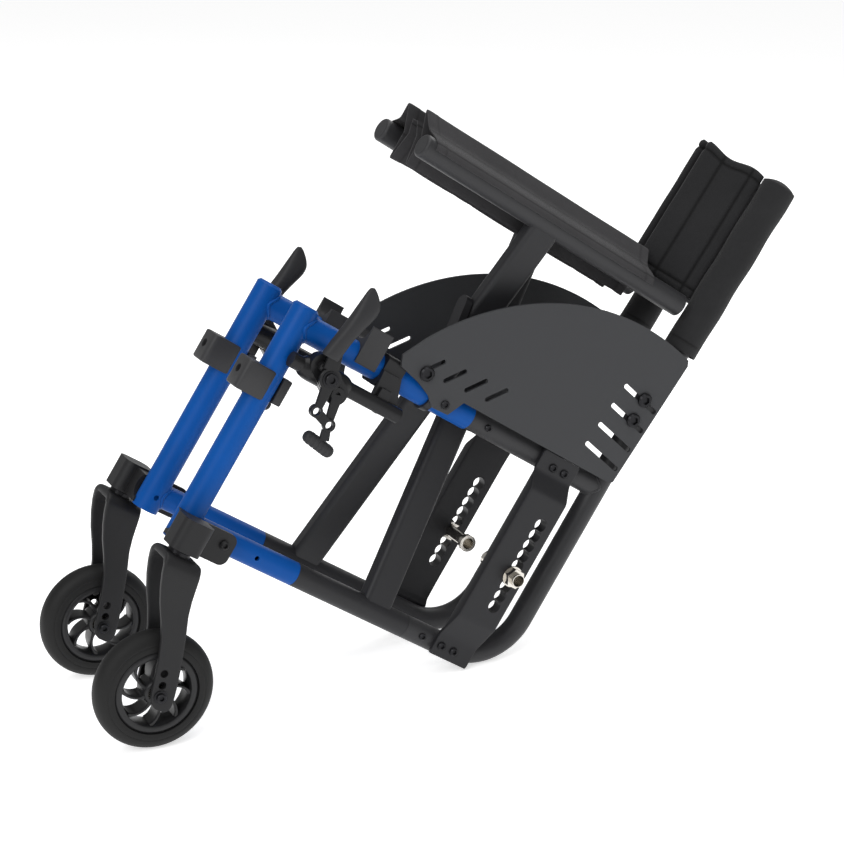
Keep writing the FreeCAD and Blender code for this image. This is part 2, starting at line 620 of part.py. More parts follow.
# ---- assembly -----------------------------------------------------------------------------
def left_pieces():
    """Every piece of the left side frame, its caster and its wheel lock."""
    return {
        "front_frame": front_frame(), "top_tube": top_tube(),
        "rear_top_tube": rear_top_tube(), "rear_frame_tube": rear_frame_tube(),
        "back_post": back_post(), "post_sleeve": post_sleeve(), "axle_plate": axle_plate(),
        "axle_receiver": axle_receiver(), "side_guard": side_guard(), "fasteners": fasteners(),
        "tube_clamps": tube_clamps(), "lock_mount": lock_mount(),
        "caster_housing": caster_housing(), "caster_fork": caster_fork(),
        "caster_axle": caster_axle(), "caster_tyre": caster_tyre(), "caster_hub": caster_hub(),
        "lock_lever": lock_lever(), "lock_grip": lock_grip(), "lock_link": lock_link(),
        "pad_arm": pad_arm()}


def all_pieces():
    """Every node of the chair, in the level chair frame."""
    out = {}
    pieces = left_pieces()
    seat_outer, seat_middle, seat_inner = seat_strips()
    back_outer, back_inner = back_strips()
    pieces["seat_outer"] = seat_outer
    pieces["seat_middle"] = seat_middle
    pieces["seat_inner"] = seat_inner
    pieces["back_outer"] = back_outer
    pieces["back_inner"] = back_inner
    for name, shape in pieces.items():
        out["left_" + name] = shape
        out["right_" + name] = mirrored(shape)
    out["left_brace_arm"] = arm_body(X_ARM_REAR, 1)
    out["right_brace_arm"] = arm_body(X_ARM_FRONT, -1)
    out["left_seat_rail"] = seat_rail(1)
    out["right_seat_rail"] = seat_rail(-1)
    face = X_ARM_FRONT + ARM_WIDE / 2
    back = X_ARM_REAR - ARM_WIDE / 2
    out["left_fold_link"] = fold_link(face + 1.5, face + 9.5, R_FRONT)
    out["right_fold_link"] = mirrored(fold_link(back - 9.5, back - 1.5, R_REAR))
    out["cross_bolt"] = cross_bolt()
    return out


def to_row(shape, shift):
    """Tip a piece nose-up and move it into the row's frame."""
    shape = shape.copy()
    shape.rotate(V(0, 0, 0), Y, -TILT)
    shape.translate(shift)
    return shape


def resting_shift(pieces):
    """The move that centres the tipped chair over its footprint's box."""
    whole = Part.makeCompound([to_row(s, V(0, 0, 0)) for s in pieces.values()])
    box = whole.optimalBoundingBox(False)
    c = math.cos(math.radians(TILT))
    s = math.sin(math.radians(TILT))
    floor = CASTER[0] * s + CASTER[1] * c - R_WHEEL
    return V(-(box.XMin + box.XMax) / 2, 0, -floor)


def main():
    os.makedirs("parts", exist_ok=True)
    pieces = all_pieces()
    shift = resting_shift(pieces)
    for name, shape in pieces.items():
        solid = to_row(shape, shift)
        if not solid.isValid():
            print("not valid", name)
        solid.exportStep("parts/" + name + ".step")
    print("nodes", len(pieces), "tilt", round(TILT, 3), "shift", shift, "fold", round(FOLD, 3))
    return pieces, shift


PIECES, SHIFT = main()
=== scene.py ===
# %% [markdown]
# A folding manual wheelchair, folded flat, with its rear wheels taken off.  It is tipped
# back on its front casters and the rear bends of its frame.  The measured model is loaded
# as a fixed frame; this file gives every piece its looks, and makes again the pieces whose
# real shape is softer or finer than the measured one.
#
# Everything below is written in the chair's own level directions (forward, left, up), in
# millimetres, because that is how a fitter would give its sizes.  One function turns those
# into metres in the tipped frame.  The tip angle is not typed in: it is read from the axes
# of two joints.

# %% Load the measured model
import json
import math
import bpy
import numpy as np
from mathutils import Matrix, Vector


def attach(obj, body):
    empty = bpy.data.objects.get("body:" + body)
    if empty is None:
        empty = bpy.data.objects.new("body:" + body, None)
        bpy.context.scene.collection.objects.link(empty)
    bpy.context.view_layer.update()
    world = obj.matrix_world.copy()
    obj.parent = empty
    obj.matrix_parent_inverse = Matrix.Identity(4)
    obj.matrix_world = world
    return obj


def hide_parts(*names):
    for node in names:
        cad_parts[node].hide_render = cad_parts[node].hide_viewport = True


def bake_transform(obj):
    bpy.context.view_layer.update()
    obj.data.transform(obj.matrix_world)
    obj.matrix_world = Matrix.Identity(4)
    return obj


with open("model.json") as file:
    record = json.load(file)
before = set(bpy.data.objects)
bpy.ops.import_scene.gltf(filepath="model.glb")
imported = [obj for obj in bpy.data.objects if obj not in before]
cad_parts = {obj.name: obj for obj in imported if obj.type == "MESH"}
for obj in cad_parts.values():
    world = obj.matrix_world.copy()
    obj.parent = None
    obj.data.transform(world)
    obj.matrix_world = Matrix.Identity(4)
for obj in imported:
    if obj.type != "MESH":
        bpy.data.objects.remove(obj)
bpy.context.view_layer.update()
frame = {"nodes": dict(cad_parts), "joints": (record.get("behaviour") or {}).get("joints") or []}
JOINTS = {j["name"]: j for j in frame["joints"]}
FORE = np.array(JOINTS["fold"]["axis"], float)
UP = np.array(JOINTS["left_caster_swivel"]["axis"], float)
LEFT = np.array([0.0, 1.0, 0.0])
# Measures shared by several pieces, in chair millimetres.
WHEEL_X, WHEEL_Y, WHEEL_Z = 294.8, 95.0, -144.4     # centre of the left caster wheel
HALF = 50.0                                         # half the spacing of the side frames
FRONT_X, FRONT_R = 332.0, 14.3                      # upright front tube: place and radius
REAR_R = 12.7                                       # rear tubes, seat rails and back posts
TOP_Z, LOW_Z = 242.0, 12.7                          # axis heights of the top and lower tubes
POST_X = -82.0                                      # foot of the back post
ORIGIN = (np.array(JOINTS["left_caster_spin"]["pos_m"], float)
          - (FORE * WHEEL_X + LEFT * WHEEL_Y + UP * WHEEL_Z) / 1000)


def chair(points):
    """Chair millimetres (forward, left, up) to metres in the frame: origin + x F + y L + z U."""
    p = np.asarray(points, float) / 1000
    return ORIGIN + p[..., 0:1] * FORE + p[..., 1:2] * LEFT + p[..., 2:3] * UP


print("tip angle", round(math.degrees(math.atan2(FORE[2], FORE[0])), 2), "nodes", len(frame["nodes"]))

# %% [markdown]
# The camera comes first, so that each new piece can be judged from the right place.  A long
# lens from a little above, to the front left of the chair, keeps the tubes nearly parallel.

# %% Camera
camera = bpy.data.objects.new("camera", bpy.data.cameras.new("camera"))
bpy.context.scene.collection.objects.link(camera)
bpy.context.scene.camera = camera
CAMERA_BACK = Vector((0.4019, 0.8620, 0.3090))
camera.location = (0.9387, 1.9795, 0.9760)
camera.rotation_mode = "QUATERNION"
camera.rotation_quaternion = CAMERA_BACK.to_track_quat("Z", "Y")
camera.data.lens = 91.7
camera.data.sensor_width = 36.0
camera.data.clip_end = 200
bpy.context.scene.view_settings.view_transform = "Standard"
print("camera", tuple(round(v, 3) for v in camera.location), camera.data.lens, "mm")

# %% [markdown]
# A product studio is a white sweep lit by large soft boxes.  Large lights give the black
# tubes the long quiet highlights that show they are round, and keep the shadow soft.

# %% Floor and lights
FLOOR = 60.0        # half its side, metres: it runs out of sight in every view
floor_mesh = bpy.data.meshes.new("floor")
floor_mesh.from_pydata([(-FLOOR, -FLOOR, 0), (FLOOR, -FLOOR, 0), (FLOOR, FLOOR, 0), (-FLOOR, FLOOR, 0)],
                       [], [(0, 1, 2, 3)])
floor = bpy.data.objects.new("floor", floor_mesh)
bpy.context.scene.collection.objects.link(floor)


def soft_box(name, place, aim, width, height, watts):
    """A rectangular light at a place, turned to face a point."""
    data = bpy.data.lights.new(name, "AREA")
    data.shape = "RECTANGLE"
    data.size = width
    data.size_y = height
    data.energy = watts
    box = bpy.data.objects.new(name, data)
    bpy.context.scene.collection.objects.link(box)
    box.location = place
    box.rotation_mode = "QUATERNION"
    box.rotation_quaternion = (Vector(place) - Vector(aim)).to_track_quat("Z", "Y")
    return box


soft_box("key", (2.6, 2.0, 2.6), (0, 0, 0.3), 2.2, 2.2, 62)
soft_box("top", (-0.4, 0.2, 3.2), (0, 0, 0.2), 3.0, 2.4, 48)
soft_box("rim", (-2.2, -1.6, 2.2), (0, 0, 0.4), 1.6, 2.2, 26)
world = bpy.data.worlds.new("studio")
bpy.context.scene.world = world
world.use_nodes = True
world.node_tree.nodes["Background"].inputs["Color"].default_value = (1, 1, 1, 1)
world.node_tree.nodes["Background"].inputs["Strength"].default_value = 0.36

# %% [markdown]
# Finishes.  Most of this chair is powder coat, cast or moulded plastic, rubber and screws.
# They differ in colour, in gloss and in grain, so one recipe serves them all: a fine noise
# lifts the surface into a grain, and a slow noise shifts colour and gloss a little, as
# handling and uneven coating do.  Patterns follow Object coordinates, in metres.

# %% The recipe for hard finishes


def node(tree, kind, **sockets):
    """Add a shader node and set its inputs by name."""
    made = tree.nodes.new(kind)
    for key, value in sockets.items():
        made.inputs[key.replace("_", " ")].default_value = value
    return made


def new_material(name):
    """An empty node material: its tree and its main shader."""
    made = bpy.data.materials.new(name)
    made.use_nodes = True
    return made, made.node_tree, made.node_tree.nodes["Principled BSDF"]


def hard_finish(name, colour, rough, metallic=0.0, grain=1400.0, relief=0.10, drift=0.12,
                coat=0.0, gloss_drift=0.07, shine=0.28):
    """Colour = base x (1 +- drift), roughness = rough +- gloss_drift, both by a slow noise;
    the normal is tilted by a fine noise with grain ripples a metre."""
    made, tree, shader = new_material(name)
    link = tree.links.new
    where = tree.nodes.new("ShaderNodeTexCoord")
    slow = node(tree, "ShaderNodeTexNoise", Scale=9.0, Detail=5.0, Roughness=0.62)
    fine = node(tree, "ShaderNodeTexNoise", Scale=grain, Detail=2.0, Roughness=0.5)
    for pattern in (slow, fine):
        link(where.outputs["Object"], pattern.inputs["Vector"])
    tint = tree.nodes.new("ShaderNodeValToRGB")
    tint.color_ramp.elements[0].position = 0.30
    tint.color_ramp.elements[1].position = 0.72
    tint.color_ramp.elements[0].color = [c * (1 - drift) for c in colour] + [1]
    tint.color_ramp.elements[1].color = [c * (1 + drift) for c in colour] + [1]
    link(slow.outputs["Fac"], tint.inputs["Fac"])
    link(tint.outputs["Color"], shader.inputs["Base Color"])
    gloss = tree.nodes.new("ShaderNodeMapRange")
    gloss.inputs["From Min"].default_value = 0.3
    gloss.inputs["From Max"].default_value = 0.7
    gloss.inputs["To Min"].default_value = rough - gloss_drift
    gloss.inputs["To Max"].default_value = rough + gloss_drift
    link(slow.outputs["Fac"], gloss.inputs["Value"])
    link(gloss.outputs["Result"], shader.inputs["Roughness"])
    lift = node(tree, "ShaderNodeBump", Strength=relief, Distance=0.0004)
    link(fine.outputs["Fac"], lift.inputs["Height"])
    link(lift.outputs["Normal"], shader.inputs["Normal"])
    shader.inputs["Metallic"].default_value = metallic
    shader.inputs["Coat Weight"].default_value = coat
    shader.inputs["Specular IOR Level"].default_value = shine
    return made


FINISH = {
    "blue": hard_finish("blue_satin", (0.001, 0.070, 0.31), 0.42, 0.0, 1100, 0.10, 0.10,
                        shine=0.14),
    "black_tube": hard_finish("black_powder_coat", (0.028, 0.028, 0.030), 0.46, 0.0, 1300, 0.16),
    "arm": hard_finish("brace_powder_coat", (0.019, 0.019, 0.021), 0.50, 0.0, 900, 0.24),
    "fork": hard_finish("matt_cast_black", (0.013, 0.013, 0.014), 0.52, 0.0, 700, 0.20),
    "guard": hard_finish("guard_sheet_charcoal", (0.041, 0.042, 0.045), 0.62, 0.0, 2200, 0.22, 0.06),
    "clamp": hard_finish("clamp_nylon", (0.034, 0.034, 0.036), 0.48, 0.0, 600, 0.14),
    "brake": hard_finish("brake_black", (0.012, 0.012, 0.013), 0.34, 0.2, 900, 0.10),
    "grip": hard_finish("grip_soft_plastic", (0.024, 0.024, 0.026), 0.55, 0.0, 500, 0.20),
    "screw": hard_finish("black_oxide_steel", (0.020, 0.020, 0.022), 0.33, 0.75, 1600, 0.06),
    "plate": hard_finish("axle_plate_black", (0.017, 0.017, 0.019), 0.40, 0.15, 1200, 0.12),
    "nickel": hard_finish("bright_nickel", (0.66, 0.63, 0.58), 0.20, 1.0, 1800, 0.05, 0.10),
    "tyre": hard_finish("tyre_rubber", (0.007, 0.007, 0.007), 0.60, 0.0, 500, 0.14, 0.14),
    "hub": hard_finish("hub_moulding", (0.017, 0.017, 0.018), 0.33, 0.0, 900, 0.06),
}
FINISH["floor"] = hard_finish("studio_floor", (0.90, 0.90, 0.90), 0.92, 0.0, 40, 0.02, 0.004,
                              gloss_drift=0.01)
# A little light of its own lifts the floor to plain white without hiding the shadows on it.
glow = FINISH["floor"].node_tree.nodes["Principled BSDF"]
glow.inputs["Emission Color"].default_value = (1, 1, 1, 1)
glow.inputs["Emission Strength"].default_value = 0.60
floor.data.materials.append(FINISH["floor"])
print("finishes", len(FINISH))

# %% [markdown]
# The measured pieces that are already the right shape keep their meshes and only take a
# finish.  The table says which finish each kind of piece is bought in.

# %% Finishes on the measured pieces
KIND = {
    "front_frame": "blue", "top_tube": "blue", "rear_top_tube": "black_tube",
    "rear_frame_tube": "black_tube", "back_post": "black_tube", "axle_plate": "plate",
    "axle_receiver": "nickel", "side_guard": "guard", "fasteners": "screw",
    "tube_clamps": "clamp", "lock_mount": "brake", "caster_housing": "fork",
    "caster_fork": "fork", "caster_axle": "screw", "caster_tyre": "tyre", "caster_hub": "hub",
    "lock_lever": "brake", "lock_grip": "grip", "lock_link": "brake", "pad_arm": "brake",
    "brace_arm": "arm", "seat_rail": "black_tube", "fold_link": "plate", "cross_bolt": "screw",
}


def plain_name(name):
    """A node's name without the side it is on."""
    return name.replace("left_", "").replace("right_", "")


for name, piece in frame["nodes"].items():
    finish_name = KIND.get(plain_name(name), "black_tube")
    piece.data.materials.clear()
    piece.data.materials.append(FINISH[finish_name])
print("dressed", len(frame["nodes"]), "measured pieces")

# %% [markdown]
# Every new piece is a surface: a grid of points worked out from two numbers, such as "how
# far along" and "how far round".  These few helpers turn such grids into closed meshes.

# %% From a grid of points to a mesh


def unit(v):
    """Vectors scaled to length 1."""
    return v / np.linalg.norm(v, axis=-1, keepdims=True)


def grid_quads(rows, cols, wrap_rows=False, wrap_cols=False):
    """Quads that join neighbours of a rows x cols grid, numbered row by row."""
    i = np.arange(rows if wrap_rows else rows - 1)
    j = np.arange(cols if wrap_cols else cols - 1)
    i, j = np.meshgrid(i, j, indexing="ij")
    below = (i + 1) % rows
    right = (j + 1) % cols
    quads = [i * cols + j, i * cols + right, below * cols + right, below * cols + j]
    return np.stack(quads, -1).reshape(-1, 4).tolist()


def capped_quads(rows, cols):
    """Quads of a grid that closes around its columns, and a face on its first and last rows."""
    first, last = range(cols), range((rows - 1) * cols, rows * cols)
    return grid_quads(rows, cols, False, True) + [list(first)[::-1], list(last)]


def enclosed(points, faces):
    """Volume inside the faces: the sum of a . (b x c) / 6 over triangles fanned from each face."""
    total = 0.0
    for size in sorted({len(f) for f in faces}):
        ring = points[np.array([f for f in faces if len(f) == size])]
        for k in range(1, size - 1):
            total += (ring[:, 0] * np.cross(ring[:, k], ring[:, k + 1])).sum() / 6
    return total


def piece(name, shells, finish, body, slot, hides=(), angle=40):
    """One object from closed shells of (chair points, faces), turned to face outwards,
    smooth where faces meet by less than the angle."""
    points, faces = [], []
    for shell_points, shell_faces in shells:
        placed = chair(shell_points.reshape(-1, 3))
        if enclosed(placed, shell_faces) < 0:
            shell_faces = [f[::-1] for f in shell_faces]
        base = sum(len(p) for p in points)
        faces += [[v + base for v in f] for f in shell_faces]
        points.append(placed)
    mesh = bpy.data.meshes.new(name)
    mesh.from_pydata(np.concatenate(points).tolist(), [], faces)
    mesh.update()
    made = bpy.data.objects.new(name, mesh)
    bpy.context.scene.collection.objects.link(made)
    mesh.materials.append(FINISH[finish])
    mesh.shade_smooth()
    mesh.set_sharp_from_angle(angle=math.radians(angle))
    if body:
        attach(made, body)
    if hides:
        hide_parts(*hides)
    return made


def sides(maker):
    """Call maker(side name, sign) for the left side (+1) and the right side (-1)."""
    return [maker("left", 1.0), maker("right", -1.0)]


def tube_shell(path, radii, around=28):
    """Rings of given radii about a path of points: p + r (cos a N + sin a B), capped at its ends."""
    path = np.asarray(path, float)
    radii = np.broadcast_to(np.asarray(radii, float), (len(path),))
    tangent = unit(np.gradient(path, axis=0))
    hint = np.array([0.0, 1.0, 0.0]) if abs(tangent[0, 1]) < 0.9 else np.array([1.0, 0.0, 0.0])
    n = unit(np.cross(tangent, hint))
    b = np.cross(tangent, n)
    a = np.linspace(0, 2 * np.pi, around, endpoint=False)[None, :, None]
    ring = path[:, None] + radii[:, None, None] * (np.cos(a) * n[:, None] + np.sin(a) * b[:, None])
    return ring, capped_quads(len(path), around)


def lathe_shell(profile, centre, around=96):
    """A closed (axial, radial) profile turned about the left-right axis through a centre."""
    profile = np.asarray(profile, float)
    a = np.linspace(0, 2 * np.pi, around, endpoint=False)[:, None]
    x = centre[0] + profile[None, :, 1] * np.cos(a)
    y = centre[1] + profile[None, :, 0] + 0 * a
    z = centre[2] + profile[None, :, 1] * np.sin(a)
    return np.stack([x, y, z], -1), grid_quads(around, len(profile), True, True)


def rounded(points, share=7, spacing=1.5):
    """A polyline sampled evenly, its corners rounded by a running mean of 2 x share + 1 samples."""
    points = np.asarray(points, float)
    steps = np.linalg.norm(np.diff(points, axis=0), axis=1)
    at = np.concatenate([[0], np.cumsum(steps)])
    s = np.linspace(0, at[-1], max(int(at[-1] / spacing), 8))
    line = np.stack([np.interp(s, at, points[:, k]) for k in range(points.shape[1])], -1)
    padded = np.concatenate([2 * line[:1] - line[share:0:-1], line,
                             2 * line[-1:] - line[-2:-share - 2:-1]])
    kernel = np.ones(2 * share + 1) / (2 * share + 1)
    return np.stack([np.convolve(padded[:, k], kernel, "valid") for k in range(points.shape[1])], -1)


def run_and_across(line):
    """Arc length along a flat line, and at each point the direction square to the line."""
    s = np.concatenate([[0], np.cumsum(np.linalg.norm(np.diff(line, axis=0), axis=1))])
    slope = unit(np.gradient(line, axis=0))
    return s, np.stack([slope[:, 1], -slope[:, 0]], -1)


bar_rings, bar_faces = tube_shell([(0, 0, 0), (100, 0, 0)], 5)
print("helpers ready: a bar 10 mm thick and 100 mm long holds",
      round(abs(enclosed(bar_rings.reshape(-1, 3), bar_faces))), "mm3")

# %% [markdown]
# The cloth is a plain black weave.  Its yarns are a product of two sine waves along the
# cloth's own length and width, so the weave bends with every fold.  Sewn lines are kept as
# an attribute of the mesh, and the finish darkens and sinks them.

# %% Woven cloth
SEAM_DEPTH = 3.0    # a sewn line sinks this many times as deep as the yarns stand


def worked_out(tree, operation, *values):
    """A maths node on sockets or numbers: the socket with its result."""
    made = tree.nodes.new("ShaderNodeMath")
    made.operation = operation
    for value, entry in zip(values, made.inputs):
        if isinstance(value, float):
            entry.default_value = value
        else:
            tree.links.new(value, entry)
    return made.outputs[0]


def woven_finish(name, colour, pitch=0.0016, relief=0.5):
    """Height = sin(2 pi u / pitch) sin(2 pi v / pitch) - SEAM_DEPTH x sewn, where u and v are
    the cloth's own map, in metres.  Colour drifts slowly and is darker on sewn lines."""
    made, tree, shader = new_material(name)
    link = tree.links.new
    where = tree.nodes.new("ShaderNodeUVMap")
    where.uv_map = "cloth"
    split = tree.nodes.new("ShaderNodeSeparateXYZ")
    link(where.outputs["UV"], split.inputs["Vector"])
    waves = [worked_out(tree, "SINE", worked_out(tree, "MULTIPLY", split.outputs[axis], 2 * math.pi / pitch))
             for axis in ("X", "Y")]
    yarn = worked_out(tree, "MULTIPLY", *waves)
    sewn = tree.nodes.new("ShaderNodeAttribute")
    sewn.attribute_name = "sewn"
    deep = worked_out(tree, "MULTIPLY", sewn.outputs["Fac"], SEAM_DEPTH)
    lift = node(tree, "ShaderNodeBump", Strength=relief, Distance=0.0003)
    link(worked_out(tree, "SUBTRACT", yarn, deep), lift.inputs["Height"])
    link(lift.outputs["Normal"], shader.inputs["Normal"])
    slow = node(tree, "ShaderNodeTexNoise", Scale=16.0, Detail=6.0, Roughness=0.6)
    coords = tree.nodes.new("ShaderNodeTexCoord")
    link(coords.outputs["Object"], slow.inputs["Vector"])
    tint = tree.nodes.new("ShaderNodeValToRGB")
    tint.color_ramp.elements[0].color = [c * 0.72 for c in colour] + [1]
    tint.color_ramp.elements[1].color = [c * 1.28 for c in colour] + [1]
    link(slow.outputs["Fac"], tint.inputs["Fac"])
    dark = tree.nodes.new("ShaderNodeMix")
    dark.data_type = "RGBA"
    dark.inputs["B"].default_value = [c * 0.25 for c in colour] + [1]
    link(sewn.outputs["Fac"], dark.inputs["Factor"])
    link(tint.outputs["Color"], dark.inputs["A"])
    link(dark.outputs["Result"], shader.inputs["Base Color"])
    shader.inputs["Roughness"].default_value = 0.86
    shader.inputs["Specular IOR Level"].default_value = 0.2
    shader.inputs["Sheen Weight"].default_value = 0.08
    shader.inputs["Sheen Roughness"].default_value = 0.5
    return made


FINISH["seat_cloth"] = woven_finish("seat_cloth_black", (0.036, 0.035, 0.037))
FINISH["back_cloth"] = woven_finish("back_cloth_black", (0.016, 0.016, 0.017), 0.0020)
FINISH["sleeve_cloth"] = woven_finish("sleeve_cloth_black", (0.018, 0.018, 0.019), 0.0014)


def cloth(name, middle, thick, slot, finish, hides, body=None, sewn=None, wrap=False):
    """A cloth of given thickness about a middle grid: its two faces are m +- n t / 2, where n
    is the normal dm/du x dm/dv, joined along the border.  Its map is arc length, in metres.
    Returned with it is its flat size, in metres."""
    du = np.gradient(middle, axis=0)
    dv = np.gradient(middle, axis=1)
    if wrap:
        dv = (np.roll(middle, -1, 1) - np.roll(middle, 1, 1)) / 2
    n = unit(np.cross(du, dv))
    t = np.broadcast_to(thick, middle.shape[:2])[..., None]
    rows, cols = middle.shape[:2]
    count = rows * cols
    front = grid_quads(rows, cols, False, wrap)
    back = [[v + count for v in f[::-1]] for f in front]
    index = np.arange(count).reshape(rows, cols)
    loops = [index[0], index[-1][::-1]] if wrap else [
        np.concatenate([index[0, :-1], index[:-1, -1], index[-1, :0:-1], index[:0:-1, 0]])]
    edge = []
    for loop in loops:
        after = np.roll(loop, -1)
        edge += np.stack([after, loop, loop + count, after + count], -1).tolist()
    both = np.concatenate([(middle + n * t / 2).reshape(-1, 3), (middle - n * t / 2).reshape(-1, 3)])
    made = piece(name, [(both, front + back + edge)], finish, body, slot, hides, 60)
    u, v = (np.cumsum(np.linalg.norm(np.diff(middle, axis=k), axis=2), k) for k in (0, 1))
    u = np.concatenate([np.zeros((1, cols)), u])
    v = np.concatenate([np.zeros((rows, 1)), v], 1)
    uv = np.stack([u, v], -1).reshape(-1, 2) / 1000
    uv = np.concatenate([uv, uv])
    corner = np.zeros(len(made.data.loops), np.int32)
    made.data.loops.foreach_get("vertex_index", corner)
    layer = made.data.uv_layers.new(name="cloth")
    layer.data.foreach_set("uv", uv[corner].astype(np.float32).ravel())
    marks = made.data.attributes.new("sewn", "FLOAT", "POINT")
    lines = np.zeros((rows, cols)) if sewn is None else np.broadcast_to(sewn, (rows, cols))
    marks.data.foreach_set("value", np.concatenate([lines.ravel()] * 2).astype(np.float32))
    flat = (float(np.median(u[-1])) / 1000, float(np.median(v[:, -1])) / 1000)
    print(name, "flat", [round(f * 1000) for f in flat], "mm")
    return made, flat


def seam(distance, width=0.9):
    """1 on a sewn line and 0 away from it: exp(-(distance / width) squared)."""
    return np.exp(-(distance / width) ** 2)


# %% [markdown]
# The seat sling folds into a tent between the two rails: from each rail it rises to a ridge,
# drops down inside, turns at a lower fold and comes up again to the middle.  A side is made
# as two cloths that meet in a sewn line halfway down the inside, because each cloth can
# bend across only one joint.

# %% Seat sling
RAIL_Z = 458.0                              # axis of the folded seat rail
SEAT_X0, SEAT_X1 = -6.0, 299.0              # rear and front edges of the cloth
RIDGE = np.array([20.9, 496.05])            # upper fold, (side, up)
HEM = np.array([21.87, 416.95])             # lower fold's hinge line
HEM_SEEN = np.array([20.2, 434.0])          # the cloth turns a little above it
TIP = HEM + np.array([-16.9, 64.8]) * 0.985     # where the cloth ends beside the middle


def seat_leaf_wave(x, s, length, size):
    """Slack of a hanging leaf: a few long waves, largest halfway along and at the open front."""
    open_front = 0.25 + 0.75 * np.clip((x - 200) / 100, 0, 1) ** 2
    wave = np.sin(x / 31 + 2.0 * s / length) + 0.55 * np.sin(x / 13.5 - 3.1 * s / length + 1.0)
    return size * open_front * np.sin(np.pi * np.clip(s / length, 0, 1)) * wave


def seat_cloths(side, g):
    """Outer cloth: round the rail, up to the ridge, half down.  Inner cloth: down to the
    lower fold and up to the middle.  Each is a profile across, carried along the rail."""
    lean = math.atan2(RIDGE[1] - RAIL_Z, HALF - RIDGE[0])
    wrap = lean + np.radians(np.linspace(118, 62, 12))
    r = REAR_R + 0.9
    arc = np.stack([HALF - r * np.cos(wrap), RAIL_Z + r * np.sin(wrap)], -1)
    along = np.array([-math.cos(lean), math.sin(lean)])
    leaf = np.array([HALF, RAIL_Z]) + along * 24.0
    half_way = (RIDGE + HEM_SEEN) / 2
    outer = rounded(np.vstack([arc, leaf, RIDGE, half_way]), 3)
    inner = rounded(np.vstack([half_way, HEM_SEEN, TIP]), 3)
    x = np.linspace(SEAT_X0, SEAT_X1, 130)
    made = []
    for name, line, size, a, b in (("outer", outer, 0.5, "seat_outer", "seat_middle"),
                                   ("inner", inner, 1.5, "seat_middle", "seat_inner")):
        s, across = run_and_across(line)
        wave = seat_leaf_wave(x[:, None], s[None], s[-1], size) * np.clip(s / 25 - 0.4, 0, 1)[None]
        hem = 1 + 0.7 * (np.abs(x[:, None] - SEAT_X0 - 6) < 6) + 0.7 * (np.abs(x[:, None] - SEAT_X1 + 6) < 6)
        upper = np.clip((line[None, :, 1] - 466) / 26, 0, 1)
        jut = 10 * upper * np.clip((x[:, None] - 150) / 149, 0, 1) ** 2
        grid = np.stack([x[:, None] + jut,
                         g * (line[None, :, 0] + across[None, :, 0] * wave),
                         line[None, :, 1] + across[None, :, 1] * wave], -1)
        if name == "outer":
            sewn = seam(s - 27) + seam(s - 31) + seam(s - 8)
            hidden = [side + "_seat_outer"]
        else:
            sewn = seam(s - 2) + seam(s - s[-1] + 5)
            hidden = [side + "_seat_middle", side + "_seat_inner"]
        ends = seam(x - SEAT_X0 - 11)[:, None] + seam(x - SEAT_X1 + 11)[:, None]
        sewn = np.clip(sewn[None] + ends, 0, 1)
        panel, flat = cloth(side + "_seat_cloth_" + name, grid, 1.1 * hem, "black_cloth",
                            "seat_cloth", hidden, None, sewn)
        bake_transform(panel)
        made.append(panel)
    return made


seat_cloth_pieces = sides(seat_cloths)
print("seat cloths", sum(len(m) for m in seat_cloth_pieces))

# %% [markdown]
# The back sling is padded, and folds forward of the posts in the same way.  It is made as a
# quilted slab: two faces that close to a rounded edge, sunk along the sewn channels.

# %% Back sling and post sleeves
POST_Z0, POST_LONG = 258.0, 370.26          # foot of the post, and its length
POST_LEAN = math.radians(2.167)
BACK_RIDGE = np.array([81.28, -43.94])      # forward fold, (forward, outward) from the post
BACK_LEAF = 113.5                           # length of the leaf behind that fold
BACK_END = BACK_RIDGE + np.array([-0.99933, 0.03664]) * BACK_LEAF
BACK_LOW, BACK_HIGH = 213.0, 368.0          # the panel's ends, up the post
BACK_REACH = 6.0                            # points this far either side of its fold are worked out, and not used


def on_post(points, g):
    """Post-side measures (forward, outward, up the post) to chair millimetres."""
    p = np.asarray(points, float)
    x = POST_X + p[..., 0] * math.cos(POST_LEAN) - p[..., 2] * math.sin(POST_LEAN)
    z = POST_Z0 + p[..., 0] * math.sin(POST_LEAN) + p[..., 2] * math.cos(POST_LEAN)
    return np.stack([x, g * (HALF + p[..., 1]), z], -1)


